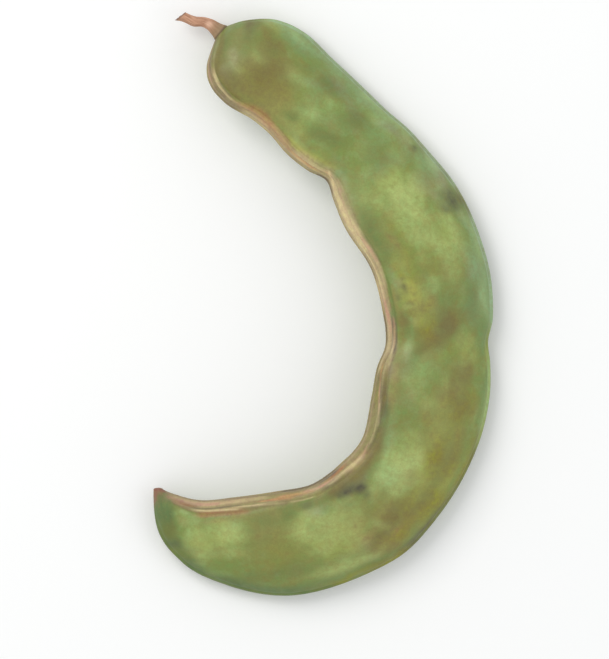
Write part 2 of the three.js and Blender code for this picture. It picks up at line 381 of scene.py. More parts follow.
# The places of the marks are read from the picture.
BLOTCHES: dict[Tone, tuple[Blotch, ...]] = {
    Tone.OLIVE: make_blotches(
        (25, 20, 22, 18, 0.85), (28, 14, 6, 4, 0.3), (44, 9, 5, 3, 0.4), (45, 14, 14, 12, 0.8),
        (60, 7, 6, 2, 0.4), (112, 11, 6, 3, 0.3), (140, 17, 14, 3, 0.5), (142, 11, 5, 3, 0.35),
        (144, 23, 4, 3, 0.35), (155, 20, 6, 4, 0.4), (160, 28, 6, 4, 0.45), (162, 32, 8, 6, 0.35),
        (164, 35.5, 5, 4, 0.65), (166, 22, 5, 3, 0.5), (170, 8, 4, 2, 0.6), (173, 40, 5, 4, 0.45),
        (175, 25, 5, 5, 0.4), (176, 24, 5, 4, 0.55), (178, 18, 6, 5, 0.9), (183, 25, 5, 4, 0.5),
        (198, 38, 4, 4, 0.4), (204, 24, 4, 6, 0.6), (208, 42, 6, 5, 0.3), (212, 9, 7, 4, 0.6),
        (213, 14, 6, 6, 0.5), (213, 45, 8, 5, 0.6), (226, 36, 5, 4, 0.5), (228, 12, 8, 3, 0.8),
        (235, 38, 22, 12, 0.6), (250, 46, 6, 4, 0.4), (268, 38, 6, 4, 0.3), (275, 47, 26, 7, 0.5),
        (278, 38, 5, 5, 0.5), (283, 28, 5, 5, 0.4), (290, 35, 45, 20, 0.35), (292, 23, 4, 4, 0.45),
        (300, 30, 5, 4, 0.4), (306, 38, 6, 4, 0.4), (309, 8, 5, 2, 0.6), (325, 10, 4, 3, 0.3),
        (335, 28, 8, 7, 0.4), (344, 10, 8, 3, 0.5), (345, 20, 14, 16, 0.8),
    ),
    Tone.PALE: make_blotches(
        (13, 3, 4, 1.4, 0.25), (21, 14, 4, 2.5, 0.3), (22, 29, 5, 5, 0.5), (34, 2.4, 4, 1.2, 0.25),
        (38, 31, 5, 3, 0.25), (38, 34, 5, 3, 0.4), (60, 12, 10, 5, 0.1), (70, 7, 4, 2.5, 0.8),
        (83, 11, 6, 3, 0.15), (92, 40, 4, 3, 0.25), (104, 21, 4, 3.5, 0.25), (112, 46, 4, 3, 0.25),
        (113, 27, 6, 4, 0.6), (114, 30, 3.5, 3, 0.25), (118, 32, 10, 6, 0.9), (118, 41, 5, 3, 0.25),
        (119, 42, 4, 3, 0.2), (120, 14, 6, 3, 0.3), (120, 21, 7, 4, 0.4), (120, 40, 6, 3.5, 0.85),
        (120, 44, 5, 2.5, 0.5), (125, 39, 4, 3, 0.25), (126, 53, 4, 3, 0.3), (128, 34, 9, 6, 0.95),
        (128, 52, 3, 3, 0.25), (130, 28, 12, 6, 0.5), (132, 24, 6, 4, 0.3), (136, 38, 10, 6, 0.2),
        (138, 30, 4, 3, 0.25), (140.5, 54, 4, 2, 0.44), (142, 24, 5, 3, 0.25), (145, 46, 11, 5, 0.7),
        (146, 30, 6, 6, 0.65), (150, 17, 5, 3, 0.2), (150, 38, 10, 7, 0.6), (154, 26, 4, 3, 0.25),
        (158, 42, 6, 5, 0.2), (158, 46, 5, 3, 0.25), (166, 38, 5, 4, 0.3), (171, 21, 4, 3, 0.25),
        (177, 13, 1.5, 2.4, 0.35), (180, 54, 4, 1.8, 0.2), (186, 20, 4, 3, 0.25), (186, 48, 4, 2.5, 0.3),
        (187, 16, 4, 5, 0.5), (197, 10, 3, 2, 0.3), (197, 37, 4, 3, 0.2), (200, 42, 5, 4, 0.35),
        (206, 47, 3, 3, 0.35), (211, 54, 4, 1.6, 0.25), (214, 2.2, 4, 1.2, 0.3), (216, 17, 4, 3.5, 0.25),
        (218, 36, 4, 3, 0.2), (222, 10, 4, 2, 0.2), (222, 13, 4, 2, 0.2), (228, 30, 4, 7, 0.15),
        (230, 28, 3.5, 3, 0.25), (236, 53, 4, 2, 0.3), (246, 22, 5, 6, 0.35), (258, 30, 8, 6, 0.6),
        (262, 25, 11, 9, 0.85), (263, 14, 4, 2.5, 0.25), (264, 38, 6, 3, 0.4), (264, 49, 6, 3, 0.4),
        (265, 32, 8, 4, 0.5), (266, 33, 3.5, 3, 0.25), (266, 34, 4, 3, 0.51), (271, 26, 4, 3, 0.2),
        (276, 30, 5, 5, 0.55), (281, 16.5, 3, 3, 0.3), (283, 20, 4, 4, 0.35), (290, 32, 4, 3, 0.25),
        (290, 34, 3, 3, 0.2), (291, 35, 4, 4, 0.45), (294, 14.5, 2.6, 2, 0.35), (295, 15, 3, 2, 0.25),
        (300, 18, 6, 5, 0.35), (300, 26, 7, 6, 0.4), (302, 26, 4, 3, 0.2), (302, 46, 4.5, 3, 0.51),
        (310, 30, 12, 12, 0.6), (311, 19, 7, 5, 0.5), (314, 16, 3, 2.5, 0.25), (315, 45, 14, 4, 0.65),
        (316, 26, 4, 3, 0.25), (320, 14, 5, 3, 0.3), (321, 33, 5, 3, 0.25), (322, 34, 5, 3, 0.3),
        (325, 20, 9, 8, 0.7), (325, 28, 6, 5, 0.4), (332, 24, 4, 4, 0.6), (358.5, 45, 4, 2, 0.51),
        (362, 28, 7, 4, 0.35), (365, 18, 8, 7, 0.75), (371, 18, 4, 3, 0.3), (372, 23, 6, 4, 0.4),
        (372, 38, 7, 2.5, 0.35), (373, 14, 8, 4, 0.4), (376, 28, 9, 4, 0.6), (380, 20, 6, 6, 0.7),
        (380, 33, 7, 3, 0.55), (384, 15, 4, 3, 0.2), (385, 26, 4, 4, 0.45), (398, 10, 3, 3, 0.3),
    ),
    # Mint-green patches; those along the back's edge are painted reflected light.
    Tone.MINT: make_blotches(
        (12, 41, 4, 4, 0.35), (13, 46, 6, 3, 0.5), (25, 50, 8, 4, 0.5), (44, 30, 8, 4, 0.3),
        (57, 18, 5, 5, 0.3), (62, 22, 6, 6, 0.6), (63, 33, 5, 4, 0.3), (70, 30, 9, 6, 0.15),
        (72, 49, 8, 2, 0.5), (78, 48.5, 10, 3, 0.6), (84, 43.5, 6, 4, 0.5), (88, 47, 8, 3, 0.5),
        (97, 46, 5, 3, 0.3), (102, 37, 5, 4, 0.4), (112, 16, 9, 5, 0.2), (113, 51, 4, 2, 0.4),
        (114, 53, 5, 3.5, 0.8), (145, 55, 4, 2, 0.3), (157, 54, 12, 2.5, 0.5), (169, 28, 4, 4, 0.4),
        (180, 52, 14, 3.5, 0.7), (199, 11, 4, 3, 0.6), (203, 13, 5, 5, 0.3), (212, 24, 7, 7, 0.35),
        (212, 56, 6, 1.5, 0.35), (222, 20, 6, 6, 0.25), (229, 57, 12, 1.6, 0.5), (252, 15, 6, 4, 0.35),
        (264, 16, 9, 3, 0.4), (269, 17, 4, 3, 0.3), (271, 22, 8, 6, 0.75), (318, 13, 6, 3, 0.4),
        (365, 13, 6, 3, 0.4), (385, 10, 4, 3, 0.45), (386, 18, 2, 5, 0.4), (390, 12, 4, 3, 0.3),
        (392, 8, 3, 2, 0.4), (397, 10, 3, 2, 0.3),
    ),
    Tone.HONEY: make_blotches(
        (42, 17, 18, 11, 0.1), (55, 27, 5, 4, 0.12), (82, 13, 4, 3, 0.12), (92, 24, 5, 5, 0.14),
        (112, 32, 5, 8, 0.14), (138, 20.5, 7, 4, 0.18), (145, 41, 6, 5, 0.16), (150, 20, 7, 5, 0.22),
        (160, 30, 9, 5, 0.14), (161, 11.5, 4, 2.5, 0.24), (162, 20, 7, 4, 0.2), (176, 22, 5, 4, 0.22),
        (188, 20, 9, 5.5, 0.34), (200, 53, 9, 3, 0.4), (201, 38, 6, 8, 0.16), (208, 48, 6, 5, 0.14),
        (222, 2, 8, 2, 0.2), (230, 50, 8, 6, 0.2), (238, 41, 12, 8, 0.18), (241, 58, 6, 3, 0.2),
        (246, 26, 10, 7, 0.14), (256, 54, 11, 4, 0.36), (258, 37, 9, 6, 0.36), (262, 45, 32, 11, 0.12),
        (270, 49, 14, 5, 0.4), (277, 38, 7, 5, 0.2), (279, 4, 6, 2, 0.16), (288, 30, 9, 6, 0.14),
        (289, 46, 8, 4.5, 0.34), (297.5, 54, 7, 4, 0.6), (315, 36, 7, 4, 0.2), (315, 51, 15, 3.5, 0.5),
        (339, 29, 12, 9, 0.16), (377, 22, 10, 6, 0.14), (388, 28, 6, 4, 0.2), (396, 19, 5, 5, 0.2),
    ),
    Tone.HAZE: make_blotches(
        (14, 20, 7, 6, 0.07), (60, 42, 12, 4, 0.15), (70, 26, 8, 4, 0.06), (72, 39, 6, 4, 0.1),
        (81, 30, 5, 4, 0.06), (89, 43, 6, 4, 0.2), (91, 11, 4, 4, 0.06), (105, 29, 4, 12, 0.1),
        (110, 51, 7, 4, 0.1), (117, 48, 5, 4, 0.08), (121, 54, 9, 4, 0.17), (130, 50, 6, 4, 0.08),
        (141, 54, 6, 4, 0.12), (167, 50, 10, 8, 0.17), (184, 48, 7, 9, 0.15), (199, 3, 6, 2, 0.09),
        (199, 11, 7, 3, 0.09), (210, 16, 8, 5, 0.11), (228, 18, 6, 4, 0.07), (249, 12, 16, 4, 0.11),
        (284, 11.5, 12, 3, 0.28), (300, 17, 6, 4, 0.09), (308, 2, 6, 2, 0.12), (312, 13, 6, 3, 0.12),
        (369, 10, 12, 5, 0.06), (383, 26, 6, 3, 0.07),
    ),
    # Bluish-green patches; those along the back's edge are painted reflected light.
    Tone.COOL: make_blotches(
        (28, 47, 12, 5, 0.6), (30, 51, 6, 3, 0.4), (45, 47, 14, 4, 0.5), (50, 34, 6, 4, 0.35),
        (56, 28, 4, 4, 0.3), (72, 47, 16, 4, 0.6), (90, 36, 6, 6, 0.3), (94, 26, 6, 5, 0.4),
        (95.5, 6.8, 2.6, 1.6, 0.8), (103, 8, 4, 2, 0.2), (103, 44, 6, 4, 0.25), (110, 48, 6, 4, 0.4),
        (116, 52, 5, 3, 0.3), (150, 53, 8, 3, 0.6), (160, 9, 8, 2.5, 0.4), (165, 50, 10, 4, 0.6),
        (175, 53.6, 14, 2.2, 0.55), (176, 52, 10, 3, 0.5), (185, 54, 8, 2, 0.4),
    ),
    Tone.GOLD: make_blotches(
        (17, 44, 4, 4, 0.4), (60, 12, 10, 5, 0.2), (80, 8, 3, 1.5, 0.6), (157, 14, 8, 5, 0.35),
        (165, 15, 3, 3, 0.4), (168, 18.5, 4, 2, 0.7), (170, 12, 4, 3, 0.7), (170, 16.5, 4.5, 2.5, 0.9),
        (172, 14, 6, 5, 0.5), (183, 17, 5, 3, 0.3), (204, 30, 4, 4, 0.2), (206, 42, 6, 3, 0.25),
        (230, 34, 6, 6, 0.25), (245, 35, 8, 6, 0.3), (268, 40, 6, 4, 0.3), (301, 18, 5, 4, 0.3),
        (308, 30, 12, 8, 0.25), (323, 29, 5, 3, 0.3), (370, 12, 7, 3, 0.45),
    ),
    Tone.LEAF: make_blotches(
        (3, 19, 3, 5, 0.4), (4, 20, 2.5, 5, 0.55), (14, 26, 4, 4, 0.35), (20, 30, 4, 3, 0.3),
        (29, 52, 4, 2, 0.4), (82, 48, 8, 3, 0.2), (94, 27, 5, 4, 0.3), (104, 14, 4, 3, 0.3),
        (114, 45, 5, 4, 0.25), (115, 50, 4, 3, 0.35), (140, 18, 3, 2, 0.35), (176, 54, 14, 2.2, 0.5),
        (177, 6, 3, 1.3, 0.8), (182, 45, 8, 4, 0.5), (184, 40, 3, 4, 0.3), (190, 49, 6, 4, 0.5),
        (190, 52, 4, 3, 0.4), (191, 48, 5, 3, 0.3), (193, 49, 5, 4, 0.5), (196, 46, 5, 2.5, 0.4),
        (199, 50, 8, 4, 0.8), (204, 17, 3, 4, 0.35), (206, 18, 4, 3, 0.3), (220, 56, 6, 1.8, 0.35),
        (222, 56, 14, 3, 0.6), (262, 53, 4, 2.5, 0.35), (263, 52, 7, 2, 0.5), (302, 10, 5, 2, 0.5),
        (335, 26, 4, 4, 0.3), (336, 50, 5, 3, 0.4), (336, 51, 6, 2, 0.5), (336, 52, 6, 3, 0.5),
        (346, 24, 4, 4, 0.3), (390, 22, 5, 3, 0.3),
    ),
    Tone.DARK: make_blotches(
        (3, 3, 3, 3, 0.4), (4, 12, 2.5, 8, 0.5), (4, 24, 3, 4, 0.25), (5, 7, 4, 6, 0.5),
        (7, 11, 4, 3, 0.3), (8, 10, 2, 6, 0.35), (8, 13, 4, 4, 0.4), (9, 17, 2.5, 5, 0.3),
        (14, 32, 4, 4, 0.25), (16, 8.4, 7, 1.6, 0.35), (16, 11, 11, 3, 0.45), (24, 9, 6, 3, 0.4),
        (25, 36, 4, 4, 0.25), (27, 10, 4, 3, 0.2), (28, 17, 4, 3, 0.25), (32, 19, 5, 5, 0.25),
        (32, 23, 4, 4, 0.44), (32, 45, 8, 3, 0.45), (42.5, 40, 4.5, 3, 0.51), (55, 12, 5, 2.5, 0.3),
        (56, 14, 5, 3.5, 0.8), (57, 21, 3, 4, 0.4), (72, 9, 5, 2, 0.25), (74, 19, 8, 4, 0.8),
        (76, 32, 6, 4, 0.6), (78, 18, 6, 4, 0.2), (82, 23, 7, 4, 0.4), (84, 13, 6, 3, 0.4),
        (96, 25, 4, 4, 0.25), (97, 9.4, 3.5, 2.5, 0.5), (100, 32, 8, 9, 0.35), (106, 49, 4, 3, 0.25),
        (125, 32, 4, 3.5, 0.25), (127, 13, 8, 4, 0.65), (133, 10, 10, 4, 0.85), (134, 14, 4, 3, 0.25),
        (142, 9, 8, 3, 0.5), (148, 48.5, 3.5, 2.5, 0.35), (150, 9, 8, 2.5, 0.4), (150, 22, 4, 2, 0.3),
        (163, 25, 3, 2, 0.3), (172, 51, 6, 3, 0.3), (180, 33, 7, 6, 0.4), (190, 10, 6, 4, 0.5),
        (194.5, 51, 4.5, 3, 0.44), (201, 18, 3, 4, 0.6), (208, 26, 5, 4, 0.25), (210, 10, 4, 2.5, 0.35),
        (223, 13, 5, 3, 0.4), (226, 35, 4, 4, 0.3), (233, 7.6, 5, 2.2, 0.8), (240, 18, 10, 6, 0.25),
        (245, 8.6, 10, 2, 0.6), (272, 14, 5, 3, 0.5), (274, 52, 4, 2, 0.35), (274, 53, 5, 2, 0.4),
        (284, 38.5, 5, 3, 0.3), (286, 20, 3, 2.5, 0.3), (294, 41, 3, 3, 0.25), (298, 18, 4, 2.5, 0.4),
        (306, 50.5, 10, 2.5, 0.7), (321, 7, 4, 1.8, 0.35), (323, 20, 3, 2.5, 0.3),
        (328, 29.5, 3, 2.5, 0.45), (330, 41, 4, 3, 0.25), (332, 13, 6, 4, 0.5), (332, 14, 5, 3, 0.4),
        (338, 38, 6, 5, 0.3), (343, 15, 5, 3, 0.3), (347, 12, 6, 4, 0.4), (350, 10, 6, 3, 0.3),
        (354, 40, 3, 3.5, 0.35), (354, 42, 8, 5, 0.45), (356, 18, 6, 2.5, 0.3), (372, 28, 4, 2.5, 0.3),
        (378, 19.5, 3, 2, 0.25), (385, 27, 4, 4, 0.4), (395, 20, 4, 6, 0.8),
    ),
    # Painted shade: dark green round the tip.
    Tone.PAINTED_DEEP_SHADE: make_blotches(
        (393, 24, 5, 4, 0.5), (400, 12, 4, 8, 0.8), (400, 17, 6, 9, 1), (402, 12, 5, 6, 0.7),
        (405, 5, 4, 3, 0.8), (405, 9, 4, 5, 0.6),
    ),
    Tone.BROWN: make_blotches(
        (6, 8, 5, 3, 0.5), (7.5, 29, 3.5, 4, 0.6), (11, 7.5, 6, 2.5, 0.4), (11, 8.5, 8, 3, 0.4),
        (18, 9, 10, 3, 0.4), (22, 33, 5, 5, 0.55), (22, 38, 8, 5, 0.6), (24, 9, 9, 3, 0.4),
        (27, 11, 5, 3, 0.3), (31, 22, 9, 9, 0.8), (33, 30, 7, 5, 0.6), (35, 12, 10, 6, 0.45),
        (36, 35, 6, 4, 0.4), (40, 22, 7, 8, 0.4), (104, 45, 3, 2, 0.4), (126, 14, 4, 2, 0.2),
        (148, 17, 4, 2, 0.3), (182, 9, 5, 3, 0.6), (186, 8, 5, 2.5, 0.6), (187, 38, 4, 5, 0.45),
        (190, 20, 6, 5, 0.6), (190, 31, 7, 6, 0.95), (194, 16, 4, 3, 0.4), (195, 23, 5, 6, 0.8),
        (198, 28, 4, 4, 0.5), (200, 22, 3, 3, 0.3), (201, 19, 3, 4, 0.35), (214, 46, 5, 4, 0.5),
        (217, 40, 5, 3, 0.55), (219, 46, 4, 4, 0.35), (222, 10.5, 7, 2.5, 0.2), (226, 6.6, 4, 1.5, 0.6),
        (227, 41, 7, 3, 0.5), (230, 46, 6, 5, 0.9), (233, 52, 4, 3, 0.4), (242, 48, 4, 3, 0.3),
        (252, 47, 5, 4, 0.35), (255, 9, 6, 2.5, 0.6), (255, 40, 8, 6, 0.75), (258, 47, 6, 4, 0.5),
        (262, 11, 8, 2, 0.5), (266, 32, 3, 3, 0.2), (267, 33, 4, 3, 0.3), (272, 45, 6, 4, 0.55),
        (272, 50, 4, 2.5, 0.4), (280, 11, 6, 2.5, 0.6), (280, 42, 5, 4, 0.6), (284, 46, 8, 4, 0.6),
        (285, 37, 5, 5, 0.85), (287, 7, 8, 2.2, 0.7), (287, 13, 9, 5, 0.4), (287, 33, 3, 4, 0.15),
        (289, 34, 4, 4, 0.35), (290, 8.6, 8, 2, 0.5), (292, 30, 4, 5, 0.5), (295, 49, 3, 4, 0.4),
        (296, 42, 6, 4, 0.5), (298, 42, 5, 6, 0.5), (300, 25, 6, 5, 0.2), (334, 40, 5, 5, 0.35),
        (370, 26, 4, 2, 0.25),
    ),
    # Painted sheen: pale grey highlights, brightest on the head.
    Tone.MIST: make_blotches(
        (13, 17, 4, 4, 0.7), (16, 13, 5, 4, 0.8), (98, 44, 6, 4, 0.35), (98, 46, 4, 3, 0.35),
        (118, 44, 6, 4, 0.4), (118, 49, 4, 4, 0.2), (122, 53, 7, 4, 0.35), (124, 54.5, 3, 2.5, 0.5),
        (127, 47, 7, 4, 0.5), (164, 11, 2.5, 2, 0.6), (203, 13, 5, 5, 0.5), (302, 40, 4, 4, 0.4),
        (304, 47, 4, 3, 0.3), (318, 13, 6, 3, 0.4),
    ),
    Tone.DUSK: make_blotches(
        (8, 30, 4, 8, 0.35), (56, 38, 7, 5, 0.3), (78, 37, 7, 5, 0.3), (105, 47, 1.6, 1.4, 1),
        (128, 54, 4, 3, 0.15), (131, 53, 4, 4, 0.35), (133, 53.5, 5.5, 4.5, 0.65),
        (134, 57.4, 4, 1.8, 0.4), (135, 48, 3, 3, 0.4), (163, 13, 1.2, 1.2, 0.4),
        (165.5, 22, 1.6, 4, 0.12), (167, 12, 1.4, 1.2, 0.7), (167, 14, 2, 0.7, 0.5),
        (168, 14, 2, 1.2, 0.35), (169.5, 13.5, 2.6, 2.4, 0.35), (170, 10, 1.6, 0.8, 0.6),
        (171, 8.5, 2, 0.8, 0.4), (172, 17.5, 2, 0.7, 0.3), (175, 12, 1.5, 0.7, 0.3),
        (176, 14, 1.4, 1.2, 0.35), (182, 45, 8, 4, 0.15), (190, 29, 6, 5, 0.15), (233, 7.6, 5, 2.2, 0.4),
        (282, 14, 4, 3, 0.12), (285, 19, 3, 3, 0.2), (285, 53, 12, 2, 0.6), (286, 15.5, 5, 3, 1),
        (286.5, 20.6, 2, 1.8, 0.25), (287, 19.5, 3, 3.5, 0.15), (288.3, 17.2, 2.4, 1.6, 0.4),
        (290, 10, 6, 2, 0.4), (290, 54, 7, 2.5, 0.35), (292, 13, 5, 2.2, 0.95), (292, 54, 4, 1.5, 0.5),
        (297, 12, 3, 1.4, 0.6), (298, 11, 6, 2, 0.15), (320, 9, 5, 2.5, 0.4), (343, 41, 4, 3, 0.2),
        (390, 24, 3, 4, 0.4), (395, 18, 4, 5, 0.3),
    ),
    Tone.TAN: make_blotches(
        (213, 9, 5, 3, 0.3),
    ),
    Tone.RUST: make_blotches(
        (11, 40, 3, 3, 0.12), (32, 38, 4, 3, 0.12), (45, 8, 5, 2, 0.15), (72, 10, 5, 2, 0.12),
        (104, 51, 4, 2.5, 0.15), (130, 21, 4, 3, 0.12), (141, 16, 4, 2, 0.25), (142, 12, 4, 2.5, 0.12),
        (177, 23, 5, 4, 0.14), (186, 8, 4, 2, 0.25), (188, 15, 4, 3, 0.12), (193, 24, 4, 3, 0.15),
        (196, 21, 4, 3.5, 0.14), (213, 9, 4, 2, 0.2), (222, 42, 4, 2.5, 0.14), (224, 18, 4, 3, 0.15),
        (225, 10, 5, 2, 0.3), (227, 36, 4, 3, 0.12), (229, 10, 3, 2, 0.15), (232, 27, 4, 3, 0.12),
        (232, 52, 5, 2.5, 0.16), (241, 47, 4, 3, 0.2), (246, 27, 4, 3, 0.12), (266, 30, 4, 4, 0.12),
        (284, 46, 6, 3, 0.3), (286, 42, 6, 3, 0.2), (287, 33, 4, 3, 0.18), (290, 44, 3, 3, 0.35),
        (292, 38, 4, 3, 0.14), (292, 42, 4, 3, 0.15), (293, 46, 4, 3, 0.14), (295, 49, 3, 4, 0.25),
        (298, 44, 4, 4, 0.25), (300, 29, 4, 3, 0.14), (300, 37, 4, 4, 0.25), (306, 36, 4, 3, 0.1),
        (308, 8, 4, 2, 0.2), (314, 22, 4, 3, 0.12), (390, 12, 3, 2.5, 0.2),
    ),
}

